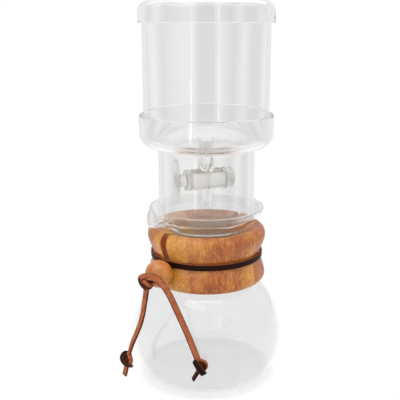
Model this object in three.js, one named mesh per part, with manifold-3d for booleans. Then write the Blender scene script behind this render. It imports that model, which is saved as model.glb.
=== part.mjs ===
// A stacked glass cold drip coffee maker. A lidded water chamber drips through a stopcock into a coffee
// chamber, which stands in the funnel mouth of a round carafe with a laced wooden collar.
// Millimetres, +Z up. The origin is the centre of the carafe's flat base, and -Y is the front.

import * as THREE from 'three';
import { mergeVertices } from 'three/addons/utils/BufferGeometryUtils.js';
import Module from 'manifold-3d';

// Shared by all pieces
const glassWall = 2.2;
const seatGap = 0.3;
const cutOverrun = 3;
const glassSides = 36;
const smallSides = 20;

// Carafe: round bulb, neck, funnel mouth and a pulled spout
const bulbRadius = 63.2;
const bulbCentreHeight = 35.15;
const heelRadius = 16;
const shoulderFillet = 8;
const neckRadius = 31.5;
const neckLength = 31.35;
const funnelTiltDeg = 52;
const funnelFlare = 5;
const bowlRadius = 22;
const rimTiltDeg = 20;
const mouthFlare = 16.1;
const spoutReach = 8;
const spoutDrop = 8;
const spoutHalfAngleDeg = 25;
const spoutTipSharpnessShare = 0.2;
const carafeSides = 42;

// Coffee chamber: cup, cylinder, shoulder that sits in the funnel, lower cylinder and outlet stem
const chamberOverNeck = 8;
const chamberLength = 52.57;
const chamberShoulderFillet = 6;
const cupClearance = 1.2;
const cupWall = 2.4;
const cupHeight = 25.5;
const cupCornerShare = 0.78;
const cupMouthShare = 0.2;
const lowerClearance = 1.3;
const lowerLength = 29.55;
const lowerCornerRadius = 7;
const stemRadius = 8;
const stemLength = 9;
const stemFillet = 3;

// Filter: perforated disc in a silicone ring, on the floor of the lower cylinder
const gasketThickness = 4;
const gasketWidth = 4;
const discThickness = 0.8;
const discGrip = 2.4;
const sieveHoleRadius = 1.2;
const sieveSpacingShare = 0.26;
const sieveRings = 3;

// Water chamber: plain cylinder with an outlet tube, a stopcock barrel and a drip tip below it
const tankOverChamber = 11.3;
const tankHeight = 106.3;
const tankCornerShare = 0.82;
const outletRadius = 6.5;
const outletBoreRadius = 4.2;
const outletFillet = 4;
const barrelDrop = 29.8;
const barrelRadius = 8.9;
const barrelHalfLength = 14;
const tipTopRadius = 5.4;
const tipEndRadius = 3.4;
const tipLength = 16;
const waterwayRadius = 1.6;

// Lid: a plain cap whose inner shoulder rests on the tank's rim
const lidOverTank = 3.3;
const lidSkirt = 16;
const lidShoulderRadius = 8;

// Stopcock plug, turned by an oval key on its handle end and held by a nut on its thin end
const valveYawDeg = -14;
const plugBigRadius = 5.7;
const plugSmallRadius = 4.8;
const plugClearance = 0.2;
const plugShoulderRadius = 8.4;
const plugShoulderLength = 4.5;
const plugNeckRadius = 5;
const plugNeckLength = 5.6;
const keyThickness = 3.4;
const keyHeight = 36;
const keyWidth = 15;
const studRadius = 3;
const washerThickness = 1;
const washerRadius = 9.2;
const ringWireRadius = 0.9;
const nutRadius = 8.9;
const nutThickness = 5.2;
const nutFaceShare = 0.72;
const nutFlutes = 10;
const nutFluteDepth = 0.6;

// Wooden collar in two halves: it is thickest at its two bulges, and its levels are shares of its height
const collarYawDeg = 10;
const collarThickness = 17.6;
const collarWaistDepth = 5.1;
const collarRidgeInset = 5.7;
const collarFootInset = 4.5;
const collarOverShoulder = 10.4;
const collarOverFlare = 0.9;
const collarDish = 3.4;
const collarUpperBulgeShare = 0.833;
const collarWaistShare = 0.494;
const collarLowerBulgeShare = 0.142;
const collarClearance = 0.35;
const collarSlit = 6.5;
const collarCurveSteps = 12;

// Leather lace: band round the waist, bead, knots and two tails
const laceWidth = 5;
const laceThickness = 1.8;
const beadYawDeg = 14;
const beadRadius = 11;
const beadHoleRadius = 3.5;
const beadTiltDeg = 11;
const beadStandOff = 8.3;
const beadDrop = 5.6;
const knotRadius = 5.8;
const knotLength = 11.6;
const endKnotRadius = 6;
const endKnotLength = 15;
const knotGrooveShare = 0.8;
const knotDepthShare = 0.68;
const tailSeat = 1.6;
const stubLength = 7;
const tailSteps = 22;
const leftFaceTurnDeg = 8;
const rightFaceTurnDeg = 50;
const leftStubDirection = [-0.14, -0.19, -0.97];
const rightStubDirection = [-0.3, -0.42, -0.86];
const leftTailRoute = [
  [18.7, -70.0, 94.7], [18.4, -70.1, 91.1], [17.9, -70.4, 87.3], [17.4, -70.8, 83.6],
  [17.1, -71.3, 79.9], [16.7, -71.7, 76.2], [16.2, -72.2, 72.5], [15.5, -72.9, 68.7],
  [14.6, -73.5, 64.8], [13.3, -74.2, 60.8], [11.6, -74.9, 56.6], [9.6, -75.6, 52.2],
  [7.6, -76.3, 47.9], [5.7, -76.9, 43.5], [4.1, -77.5, 39.2], [2.8, -78.0, 34.9],
];
const rightTailRoute = [
  [15.2, -70.6, 100.4], [18.7, -70.1, 102.1], [22.5, -69.0, 103.3], [26.4, -67.4, 103.5],
  [30.1, -65.4, 102.0], [33.1, -63.4, 99.1], [35.3, -61.6, 95.3], [36.9, -60.0, 91.2],
  [38.2, -58.5, 87.0], [39.4, -57.1, 82.7], [40.6, -55.7, 78.4], [41.8, -54.3, 74.1],
  [43.0, -52.9, 69.8], [44.3, -51.6, 65.5], [45.6, -50.3, 61.2], [46.9, -49.1, 56.9],
  [48.2, -48.0, 52.6], [49.6, -46.9, 48.3], [51.1, -45.9, 44.0], [52.5, -44.9, 39.6],
];

const glassLook = { color: 0xeef4f3, roughness: 0.05, metalness: 0, transparent: true, opacity: 0.35 };
const ptfeLook = { color: 0xf1efe6, roughness: 0.45, metalness: 0 };
const rubberLook = { color: 0xe9e7e0, roughness: 0.6, metalness: 0 };
const steelLook = { color: 0xc4c6c8, roughness: 0.3, metalness: 1 };
const woodLook = { color: 0xc8803f, roughness: 0.5, metalness: 0 };
const leatherLook = { color: 0x8a4a2b, roughness: 0.75, metalness: 0 };

const rad = THREE.MathUtils.degToRad;
const point = (r, z) => new THREE.Vector2(r, z);

// Points of an arc from one angle to another, both in degrees, its ends included
function arc(centre, radius, fromDeg, toDeg, steps) {
  const points = [];
  for (let i = 0; i <= steps; i++) {
    const a = rad(fromDeg + ((toDeg - fromDeg) * i) / steps);
    points.push(point(centre.x + radius * Math.cos(a), centre.y + radius * Math.sin(a)));
  }
  return points;
}

// A solid of revolution about Z from a profile of radius and height, listed up its outside
function revolve(profile, sides) {
  return new THREE.LatheGeometry(profile, sides).rotateX(Math.PI / 2);
}

// Closes an outside path and an inside path into one ring profile
function ring(outside, inside) {
  return [...outside, ...inside.slice().reverse(), outside[0].clone()];
}

const wasm = await Module();
wasm.setup();

function toSolid(geometry) {
  const bare = geometry.clone();
  bare.deleteAttribute('normal');
  bare.deleteAttribute('uv');
  const merged = mergeVertices(bare, 1e-4);
  const index = merged.index.array;
  const triVerts = [];
  for (let i = 0; i < index.length; i += 3) {
    const [a, b, c] = [index[i], index[i + 1], index[i + 2]];
    if (a !== b && b !== c && c !== a) triVerts.push(a, b, c);
  }
  return new wasm.Manifold(new wasm.Mesh({
    numProp: 3,
    vertProperties: new Float32Array(merged.attributes.position.array),
    triVerts: new Uint32Array(triVerts),
  }));
}

function toGeometry(solid) {
  const mesh = solid.getMesh();
  const geometry = new THREE.BufferGeometry();
  geometry.setAttribute('position', new THREE.BufferAttribute(new Float32Array(mesh.vertProperties), 3));
  geometry.setIndex(new THREE.BufferAttribute(new Uint32Array(mesh.triVerts), 1));
  geometry.computeVertexNormals();
  return geometry;
}

const model = new THREE.Group();

function addPiece(name, geometry, look, parent = model) {
  const piece = new THREE.Mesh(geometry, new THREE.MeshStandardMaterial(look));
  piece.name = name;
  parent.add(piece);
  return piece;
}

// The direction of a point at a yaw from the front, turned towards +X
function fromFront(yawDeg, radius, height) {
  return new THREE.Vector3(radius * Math.sin(rad(yawDeg)), -radius * Math.cos(rad(yawDeg)), height);
}

// Carafe

const heelReach = bulbRadius - heelRadius;
const heelCentre = point(Math.sqrt(heelReach ** 2 - (bulbCentreHeight - heelRadius) ** 2), heelRadius);
const bulbCentre = point(0, bulbCentreHeight);
const heelJoinDeg = THREE.MathUtils.radToDeg(Math.atan2(heelRadius - bulbCentreHeight, heelCentre.x));
const shoulderReach = bulbRadius + shoulderFillet;
const shoulderSide = neckRadius + shoulderFillet;
const shoulderRise = Math.sqrt(shoulderReach ** 2 - shoulderSide ** 2);
const shoulderCentre = point(shoulderSide, bulbCentreHeight + shoulderRise);
const shoulderJoinDeg = THREE.MathUtils.radToDeg(Math.atan2(shoulderRise, shoulderSide));
const funnelCos = Math.cos(rad(funnelTiltDeg));
const funnelSin = Math.sin(rad(funnelTiltDeg));
const rimRadius = neckRadius + mouthFlare;
const flareCentre = point(neckRadius + funnelFlare, shoulderCentre.y + neckLength);
const coneFoot = point(flareCentre.x - funnelFlare * funnelCos, flareCentre.y + funnelFlare * funnelSin);
const bowlSide = rimRadius - bowlRadius * Math.cos(rad(rimTiltDeg));
const coneRun = bowlSide + bowlRadius * funnelCos - coneFoot.x;
const bowlCentre = point(bowlSide, coneFoot.y + (coneRun * funnelCos) / funnelSin + bowlRadius * funnelSin);
const rimHeight = bowlCentre.y - bowlRadius * Math.sin(rad(rimTiltDeg));

const collarFootHeight = shoulderCentre.y - collarOverShoulder;
const collarTopHeight = coneFoot.y + collarOverFlare;
const collarLevel = (share) => THREE.MathUtils.lerp(collarFootHeight, collarTopHeight, share);
const collarWaistHeight = collarLevel(collarWaistShare);
const collarLowerBulgeHeight = collarLevel(collarLowerBulgeShare);
const collarUpperBulgeHeight = collarLevel(collarUpperBulgeShare);
const collarBulgeRadius = neckRadius + collarThickness;
const collarWaistRadius = collarBulgeRadius - collarWaistDepth;

// The line of the carafe's wall from the base up to the rim, moved in from its outer face
function carafeLine(inset) {
  const path = [point(0, inset)];
  path.push(...arc(heelCentre, heelRadius - inset, -90, heelJoinDeg, 2));
  path.push(...arc(bulbCentre, bulbRadius - inset, heelJoinDeg, shoulderJoinDeg, 6).slice(1));
  path.push(...arc(shoulderCentre, shoulderFillet + inset, 180 + shoulderJoinDeg, 180, 2).slice(1));
  path.push(...arc(flareCentre, funnelFlare + inset, 180, 180 - funnelTiltDeg, 2));
  path.push(...arc(bowlCentre, bowlRadius - inset, -funnelTiltDeg, -rimTiltDeg, 3));
  return path;
}

const carafeOutside = carafeLine(0);
const carafeInside = carafeLine(glassWall);

function roundedRim(outerEnd, innerEnd) {
  const centre = outerEnd.clone().add(innerEnd).multiplyScalar(0.5);
  const out = THREE.MathUtils.radToDeg(Math.atan2(outerEnd.y - centre.y, outerEnd.x - centre.x));
  return arc(centre, centre.distanceTo(outerEnd), out, out + 180, 3).slice(1, -1);
}

// The spout is pulled out and down: most at the lip, none at the funnel's foot or past the half angle
function pullSpout(geometry) {
  const place = geometry.attributes.position;
  for (let i = 0; i < place.count; i++) {
    const x = place.getX(i);
    const y = place.getY(i);
    const z = place.getZ(i);
    const radius = Math.hypot(x, y);
    const rise = THREE.MathUtils.smoothstep(z, coneFoot.y, rimHeight);
    const aside = Math.abs(Math.atan2(x, -y)) / rad(spoutHalfAngleDeg);
    const blunt = Math.hypot(aside, spoutTipSharpnessShare) - spoutTipSharpnessShare;
    const pull = rise * Math.max(0, 1 - blunt / (Math.hypot(1, spoutTipSharpnessShare) - spoutTipSharpnessShare));
    if (pull === 0 || radius < neckRadius - glassWall) continue;
    const out = (radius + spoutReach * pull) / radius;
    place.setXYZ(i, x * out, y * out, z - spoutDrop * pull * rise);
  }
  geometry.computeVertexNormals();
  return geometry;
}

const carafeRim = roundedRim(carafeOutside[carafeOutside.length - 1], carafeInside[carafeInside.length - 1]);
const carafeProfile = [...carafeOutside, ...carafeRim, ...carafeInside.slice().reverse()];
addPiece('carafe', pullSpout(revolve(carafeProfile, carafeSides)), glassLook);

// Coffee chamber: its shoulder lies in the funnel, a seat gap off the funnel's inner face

const chamberRadius = neckRadius + chamberOverNeck;
const tankRadius = chamberRadius + tankOverChamber;
const cupRadius = tankRadius + cupClearance + cupWall;
const cupCornerRadius = (cupRadius - chamberRadius) * cupCornerShare;
const cupMouthFillet = (cupRadius - chamberRadius) * cupMouthShare;
const lowerRadius = neckRadius - glassWall - lowerClearance;
const funnelFoot = arc(flareCentre, funnelFlare + glassWall, 180, 180 - funnelTiltDeg, 1)[1];
const lowerFlareSide = lowerRadius + funnelFlare;
const lowerConeSide = lowerFlareSide - funnelFlare * funnelCos;
const lowerFlareHeight = funnelFoot.y
  + (seatGap + (lowerConeSide - funnelFoot.x) * funnelCos) / funnelSin - funnelFlare * funnelSin;
const lowerFlareCentre = point(lowerFlareSide, lowerFlareHeight);
const coneTopSide = chamberRadius - chamberShoulderFillet * (1 - funnelCos);
const coneRise = ((coneTopSide - lowerConeSide) * funnelCos) / funnelSin;
const cylinderFoot = lowerFlareHeight + funnelFlare * funnelSin + coneRise + chamberShoulderFillet * funnelSin;
const cupFloorHeight = cylinderFoot + chamberLength + cupMouthFillet;
const lowerFloorHeight = lowerFlareHeight - lowerLength;
const cupRimHeight = cupFloorHeight + cupHeight;

function chamberLine(inset, wall) {
  const cupInset = inset === 0 ? 0 : wall;
  const stem = point(stemRadius + stemFillet, lowerFloorHeight - stemFillet);
  const corner = point(lowerRadius - lowerCornerRadius, lowerFloorHeight + lowerCornerRadius);
  const upper = point(chamberRadius - chamberShoulderFillet, cylinderFoot);
  const mouth = point(chamberRadius + cupMouthFillet, cupFloorHeight - cupMouthFillet);
  const cupCorner = point(cupRadius - cupCornerRadius, cupFloorHeight + cupCornerRadius);
  return [
    point(stemRadius - inset, lowerFloorHeight - stemFillet - stemLength),
    ...arc(stem, stemFillet + inset, 180, 90, 1),
    ...arc(corner, lowerCornerRadius - inset, -90, 0, 2),
    ...arc(lowerFlareCentre, funnelFlare + inset, 180, 180 - funnelTiltDeg, 2),
    ...arc(upper, chamberShoulderFillet - inset, -funnelTiltDeg, 0, 1),
    ...arc(mouth, cupMouthFillet + inset, 180, 90, 1).map((p) => point(p.x, p.y + (cupInset - inset))),
    ...arc(cupCorner, cupCornerRadius - cupInset, -90, 0, 3),
    point(cupRadius - cupInset, cupRimHeight),
  ];
}

const chamberOutside = chamberLine(0, 0);
const chamberInside = chamberLine(glassWall, cupWall);
const chamberRim = roundedRim(chamberOutside[chamberOutside.length - 1], chamberInside[chamberInside.length - 1]);
addPiece('coffee_chamber', revolve(ring([...chamberOutside, ...chamberRim], chamberInside), glassSides), glassLook);

// Filter

const gasketFloor = lowerFloorHeight + lowerCornerRadius + seatGap;
const gasketOuter = lowerRadius - glassWall - seatGap;
const gasketMiddle = gasketFloor + gasketThickness / 2;
const discRadius = gasketOuter - gasketWidth + discGrip;
const sieveRingSpacing = (gasketOuter - gasketWidth) * sieveSpacingShare;
const slotHalf = discThickness / 2 + seatGap;
const slotFloor = discRadius + seatGap;

const gasketProfile = [
  point(gasketOuter - gasketWidth, gasketFloor),
  point(gasketOuter - seatGap, gasketFloor),
  point(gasketOuter, gasketMiddle),
  point(gasketOuter - seatGap, gasketFloor + gasketThickness),
  point(gasketOuter - gasketWidth, gasketFloor + gasketThickness),
  point(gasketOuter - gasketWidth, gasketMiddle + slotHalf),
  point(slotFloor, gasketMiddle + slotHalf),
  point(slotFloor, gasketMiddle - slotHalf),
  point(gasketOuter - gasketWidth, gasketMiddle - slotHalf),
  point(gasketOuter - gasketWidth, gasketFloor),
];
addPiece('filter_gasket', revolve(gasketProfile, glassSides), rubberLook);

const discOutline = new THREE.Shape(arc(point(0, 0), discRadius, 0, 360, glassSides).slice(1));
for (let row = 0; row <= sieveRings; row++) {
  const count = Math.max(1, row * 6);
  for (const place of arc(point(0, 0), row * sieveRingSpacing, 0, 360, count).slice(1)) {
    discOutline.holes.push(new THREE.Path(arc(place, sieveHoleRadius, 360, 0, 6).slice(1)));
  }
}
const discPlate = new THREE.ExtrudeGeometry(discOutline, { depth: discThickness, bevelEnabled: false });
discPlate.translate(0, 0, gasketMiddle - discThickness / 2);
addPiece('filter_disc', discPlate, steelLook);

// Water chamber

const tankFloor = cupFloorHeight + cupWall + seatGap;
const tankCornerRadius = cupCornerRadius * tankCornerShare;
const tankRim = tankFloor + tankHeight;
const valveHeight = tankFloor - barrelDrop;
const tipTop = valveHeight - barrelRadius + tipTopRadius / 2;
const tipEnd = valveHeight - barrelRadius - tipLength;
const tankCorner = point(tankRadius - tankCornerRadius, tankFloor + tankCornerRadius);
const outletCurve = point(outletRadius + outletFillet, tankFloor - outletFillet);

const tankOutside = [
  point(0, tipEnd),
  point(tipEndRadius, tipEnd),
  point(tipTopRadius, tipTop),
  point(outletRadius, valveHeight),
  ...arc(outletCurve, outletFillet, 180, 90, 1),
  ...arc(tankCorner, tankCornerRadius, -90, 0, 3),
  point(tankRadius, tankRim),
];
const tankInside = [
  point(0, tankFloor + glassWall),
  ...arc(tankCorner, tankCornerRadius - glassWall, -90, 0, 3),
  point(tankRadius - glassWall, tankRim),
];
const tankLip = roundedRim(tankOutside[tankOutside.length - 1], tankInside[tankInside.length - 1]);
const tankProfile = [...tankOutside, ...tankLip, ...tankInside.slice().reverse()];

// The stopcock's own group has X along its axis, from the nut to the key
const stopcock = new THREE.Group();
stopcock.position.set(0, 0, valveHeight);
stopcock.rotation.z = rad(valveYawDeg - 90);
model.add(stopcock);

function alongValve(profile, sides) {
  return revolve(profile, sides).rotateY(Math.PI / 2);
}

function placeAtValve(geometry) {
  return geometry.rotateZ(stopcock.rotation.z).translate(0, 0, valveHeight);
}

const plugTaper = (plugBigRadius - plugSmallRadius) / (2 * barrelHalfLength);
const plugRadiusAt = (x) => plugSmallRadius + plugTaper * (x + barrelHalfLength);

function taperedRod(fromX, toX, clearance) {
  return [
    point(0, fromX),
    point(plugRadiusAt(fromX) + clearance, fromX),
    point(plugRadiusAt(toX) + clearance, toX),
    point(0, toX),
  ];
}

const barrelLip = glassWall / 2;
const barrelProfile = [
  point(0, -barrelHalfLength),
  point(barrelRadius - barrelLip, -barrelHalfLength),
  point(barrelRadius, -barrelHalfLength + barrelLip),
  point(barrelRadius, barrelHalfLength - barrelLip),
  point(barrelRadius - barrelLip, barrelHalfLength),
  point(0, barrelHalfLength),
];
const barrelHole = taperedRod(-barrelHalfLength - cutOverrun, barrelHalfLength + cutOverrun, plugClearance);
const outletBoreEnd = valveHeight + plugBigRadius + glassWall;
const boreProfile = [
  point(0, tipEnd - cutOverrun),
  point(waterwayRadius, tipEnd - cutOverrun),
  point(waterwayRadius, outletBoreEnd),
  point(outletBoreRadius, outletBoreEnd + outletBoreRadius),
  point(outletBoreRadius, tankFloor),
  point(outletBoreRadius + glassWall, tankFloor + glassWall),
  point(outletBoreRadius + glassWall + cutOverrun, tankFloor + glassWall + cutOverrun),
  point(0, tankFloor + glassWall + cutOverrun),
];

const tankSolid = toSolid(revolve(tankProfile, glassSides))
  .add(toSolid(placeAtValve(alongValve(barrelProfile, smallSides))))
  .subtract(toSolid(revolve(boreProfile, smallSides)))
  .subtract(toSolid(placeAtValve(alongValve(barrelHole, smallSides))));
addPiece('water_chamber', toGeometry(tankSolid), glassLook);

// Stopcock pieces

const shoulderStart = barrelHalfLength + seatGap;
const neckStart = shoulderStart + plugShoulderLength;
const keyStart = neckStart + plugNeckLength;
const washerFace = -barrelHalfLength - seatGap;
const ringFace = washerFace - washerThickness - seatGap;
const nutFace = ringFace - 2 * ringWireRadius - seatGap;
const studHole = studRadius + seatGap;
const studEnd = nutFace - nutThickness;

const plugProfile = [
  point(0, studEnd),
  point(studRadius - seatGap, studEnd),
  point(studRadius, studEnd + seatGap),
  point(studRadius, -barrelHalfLength),
  point(plugRadiusAt(-barrelHalfLength), -barrelHalfLength),
  point(plugRadiusAt(barrelHalfLength), barrelHalfLength),
  point(plugRadiusAt(barrelHalfLength), shoulderStart),
  point(plugShoulderRadius, shoulderStart),
  point(plugShoulderRadius, neckStart - plugShoulderLength / 4),
  point(plugShoulderRadius - plugShoulderLength / 4, neckStart),
  point(plugNeckRadius, neckStart),
  point(plugNeckRadius, keyStart + keyThickness / 2),
  point(0, keyStart + keyThickness / 2),
];
const keyOutline = new THREE.Shape().absellipse(0, 0, keyWidth / 2, keyHeight / 2, 0, Math.PI * 2);
const keyEdge = keyThickness / 4;
const keyPlate = new THREE.ExtrudeGeometry(keyOutline, {
  depth: keyThickness - 2 * keyEdge,
  bevelThickness: keyEdge,
  bevelSize: keyEdge,
  bevelOffset: -keyEdge,
  bevelSegments: 1,
  curveSegments: 10,
});
keyPlate.translate(0, 0, keyEdge).rotateZ(Math.PI / 2).rotateY(Math.PI / 2).translate(keyStart, 0, 0);
const plugWaterway = revolve([
  point(0, -barrelRadius),
  point(waterwayRadius, -barrelRadius),
  point(waterwayRadius, barrelRadius),
  point(0, barrelRadius),
], smallSides / 2);
const plugSolid = toSolid(alongValve(plugProfile, smallSides))
  .add(toSolid(keyPlate))
  .subtract(toSolid(plugWaterway));
addPiece('valve_plug', toGeometry(plugSolid), ptfeLook, stopcock);

const washerProfile = [
  point(studHole, washerFace - washerThickness),
  point(washerRadius, washerFace - washerThickness),
  point(washerRadius, washerFace),
  point(studHole, washerFace),
  point(studHole, washerFace - washerThickness),
];
addPiece('plug_washer', alongValve(washerProfile, smallSides), ptfeLook, stopcock);

const wireCentre = point(studHole + ringWireRadius, ringFace - ringWireRadius);
addPiece('plug_seal_ring', alongValve(arc(wireCentre, ringWireRadius, 0, 360, 6), smallSides), rubberLook, stopcock);

function nutShape() {
  const outline = new THREE.Shape();
  const steps = nutFlutes * 4;
  for (let i = 0; i < steps; i++) {
    const a = (i / steps) * Math.PI * 2;
    const radius = nutRadius - nutFluteDepth * (0.5 - 0.5 * Math.cos(a * nutFlutes));
    if (i === 0) outline.moveTo(radius, 0);
    else outline.lineTo(radius * Math.cos(a), radius * Math.sin(a));
  }
  outline.closePath();
  outline.holes.push(new THREE.Path().absarc(0, 0, studHole, 0, Math.PI * 2, true));
  return outline;
}

const nutEdge = nutThickness / 4;
const nutBody = new THREE.ExtrudeGeometry(nutShape(), { depth: nutThickness - nutEdge, bevelEnabled: false });
const nutTrim = revolve([
  point(0, -nutEdge),
  point(nutRadius * nutFaceShare, -nutEdge),
  point(nutRadius + nutEdge, nutThickness / 2),
  point(nutRadius + nutEdge, nutThickness + cutOverrun),
  point(0, nutThickness + cutOverrun),
], smallSides);
const nutSolid = toSolid(nutBody).intersect(toSolid(nutTrim));
const nutGeometry = toGeometry(nutSolid).rotateY(Math.PI / 2).translate(nutFace - nutThickness + nutEdge, 0, 0);
addPiece('plug_nut', nutGeometry, ptfeLook, stopcock);

// Lid: its inner shoulder comes down to a seat gap off the tank's rounded rim

const lipRadius = glassWall / 2;
const lidRadius = tankRadius + lidOverTank;
const lidShoulderInner = lidShoulderRadius - glassWall;
const lidShoulderSide = lidRadius - lidShoulderRadius;
const lipReach = lidShoulderInner - seatGap - lipRadius;
const lipSide = tankRadius - lipRadius - lidShoulderSide;
const lidShoulderCentre = point(lidShoulderSide, tankRim - Math.sqrt(lipReach ** 2 - lipSide ** 2));
const lidTop = lidShoulderCentre.y + lidShoulderRadius;
const lidSkirtEnd = lidTop - lidSkirt;
const lidOutside = [
  point(lidRadius, lidSkirtEnd),
  ...arc(lidShoulderCentre, lidShoulderRadius, 0, 90, 3),
  point(0, lidTop),
];
const lidInside = [
  point(0, lidTop - glassWall),
  ...arc(lidShoulderCentre, lidShoulderInner, 90, 0, 3),
  point(lidRadius - glassWall, lidSkirtEnd),
];
const lidLip = roundedRim(lidInside[lidInside.length - 1], lidOutside[0]);
addPiece('lid', revolve([...lidOutside, ...lidInside, ...lidLip, lidOutside[0].clone()], glassSides), glassLook);

// Collar: two half rings, cut apart by a slit in front and behind, that hug the neck and the bulb's shoulder

const collarCurve = new THREE.SplineCurve([
  point(collarBulgeRadius - collarFootInset, collarFootHeight),
  point(collarBulgeRadius - laceThickness / 2, (collarFootHeight + collarLowerBulgeHeight) / 2),
  point(collarBulgeRadius, collarLowerBulgeHeight),
  point((collarBulgeRadius + collarWaistRadius) / 2, (collarLowerBulgeHeight + collarWaistHeight) / 2),
  point(collarWaistRadius, collarWaistHeight),
  point((collarBulgeRadius + collarWaistRadius) / 2, (collarUpperBulgeHeight + collarWaistHeight) / 2),
  point(collarBulgeRadius, collarUpperBulgeHeight),
  point(collarBulgeRadius - laceThickness, (collarTopHeight + collarUpperBulgeHeight) / 2),
  point(collarBulgeRadius - collarRidgeInset, collarTopHeight),
]);

// The stretch of a rising path between two heights, with its ends on them
function betweenHeights(path, low, high) {
  const cut = (a, b, z) => a.clone().lerp(b, (z - a.y) / (b.y - a.y));
  const kept = [];
  for (let i = 1; i < path.length; i++) {
    const [a, b] = [path[i - 1], path[i]];
    if (a.y < low && b.y >= low) kept.push(cut(a, b, low));
    if (b.y > low && b.y < high) kept.push(b);
    if (a.y < high && b.y >= high) kept.push(cut(a, b, high));
  }
  return kept;
}

const collarOutside = collarCurve.getPoints(collarCurveSteps);
const collarInside = betweenHeights(carafeLine(-collarClearance), collarFootHeight, collarTopHeight - collarDish);
const collarRing = toSolid(revolve(ring(collarOutside, collarInside), glassSides));
const collarBlockSize = 2 * (collarBulgeRadius + cutOverrun);

for (const [name, side] of [['collar_half_left', -1], ['collar_half_right', 1]]) {
  const block = new THREE.BoxGeometry(collarBlockSize, collarBlockSize, collarTopHeight * 2);
  block.translate(side * (collarBlockSize + collarSlit) / 2, 0, collarTopHeight);
  const half = toGeometry(collarRing.intersect(toSolid(block)));
  addPiece(name, half.rotateZ(rad(collarYawDeg)), woodLook);
}

// Lace: a flat band round the collar's waist whose two ends come out together through the bead

function flatSection(width, thickness, turnDeg = 0) {
  const [w, t] = [width / 2, thickness / 2];
  const corners = [[w, t / 2], [w * 0.75, t], [-w * 0.75, t], [-w, t / 2]];
  const points = [...corners, ...corners.map(([x, y]) => [-x, -y])].map(([x, y]) => point(x, y));
  return new THREE.Shape(points.map((p) => p.rotateAround(point(0, 0), rad(turnDeg))));
}

const [bandFoot, bandTop] = [collarWaistHeight - laceWidth / 2, collarWaistHeight + laceWidth / 2];
const bandInner = Math.max(...betweenHeights(collarOutside, bandFoot, bandTop).map((p) => p.x)) + seatGap;
const bandProfile = [
  point(bandInner, bandFoot),
  point(bandInner + laceThickness, bandFoot),
  point(bandInner + laceThickness, bandTop),
  point(bandInner, bandTop),
  point(bandInner, bandFoot),
];

// Pieces on the lace are placed along the bead's hole, which leans down and out from the band
const beadCentre = fromFront(beadYawDeg, collarBulgeRadius + beadStandOff, collarWaistHeight - beadDrop);
const holeDirection = fromFront(beadYawDeg, Math.cos(rad(beadTiltDeg)), -Math.sin(rad(beadTiltDeg)));

function alongHole(geometry, distance) {
  return geometry
    .rotateX(rad(90 + beadTiltDeg))
    .rotateZ(rad(beadYawDeg))
    .translate(...beadCentre.clone().addScaledVector(holeDirection, distance).toArray());
}

const beadHoleHalf = Math.sqrt(beadRadius ** 2 - beadHoleRadius ** 2);
const beadEdgeDeg = THREE.MathUtils.radToDeg(Math.atan2(beadHoleHalf, beadHoleRadius));
const beadSkin = arc(point(0, 0), beadRadius, -beadEdgeDeg, beadEdgeDeg, 10);
addPiece('tie_bead', alongHole(revolve([...beadSkin, beadSkin[0].clone()], smallSides), 0), woodLook);

const knotDepth = knotRadius * knotDepthShare;
const knotDistance = beadRadius + knotDepth + seatGap;
const bandMiddle = bandInner + laceThickness / 2;
const strandStart = (bandMiddle - collarBulgeRadius - beadStandOff) / Math.cos(rad(beadTiltDeg));
const strandEnd = knotDistance - knotDepth + tailSeat;

function strands(grow) {
  const section = flatSection(laceWidth + 2 * grow, 2 * (laceThickness + grow));
  const depth = strandEnd - strandStart + grow;
  return toSolid(alongHole(new THREE.ExtrudeGeometry(section, { depth, bevelEnabled: false }), strandStart));
}

addPiece('collar_tie', toGeometry(toSolid(revolve(bandProfile, glassSides)).add(strands(0))), leatherLook);

// A knot is two lobes side by side, with a groove between them
function knotProfile(radius, length) {
  const points = [point(0, -length / 2)];
  for (const share of [-0.46, -0.36, -0.22, 0, 0.22, 0.36, 0.46]) {
    const round = Math.sqrt(1 - (2 * share) ** 2);
    const lobe = 1 - (1 - knotGrooveShare) * Math.cos(Math.min(Math.abs(share) / 0.22, 1) * Math.PI / 2);
    points.push(point(radius * round ** 0.6 * lobe, length * share));
  }
  points.push(point(0, length / 2));
  return points;
}

function tail(route, faceTurnDeg, grow = 0) {
  const points = route.map((p) => new THREE.Vector3(...p));
  const last = points.length - 1;
  if (grow > 0) {
    points.unshift(points[0].clone().multiplyScalar(2).sub(points[1]));
    points.push(points[last + 1].clone().multiplyScalar(2).sub(points[last]));
  }
  const section = flatSection(laceWidth + 2 * grow, laceThickness + 2 * grow, faceTurnDeg);
  const extrudePath = new THREE.CatmullRomCurve3(points);
  return new THREE.ExtrudeGeometry(section, { steps: tailSteps, bevelEnabled: false, extrudePath });
}

const tails = [
  ['left', leftTailRoute, leftFaceTurnDeg, leftStubDirection],
  ['right', rightTailRoute, rightFaceTurnDeg, rightStubDirection],
];

const knotBody = revolve(knotProfile(knotRadius, knotLength), smallSides / 2);
knotBody.rotateY(Math.PI / 2).scale(1, 1, knotDepthShare);
let mainKnot = toSolid(alongHole(knotBody, knotDistance)).subtract(strands(seatGap));

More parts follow.
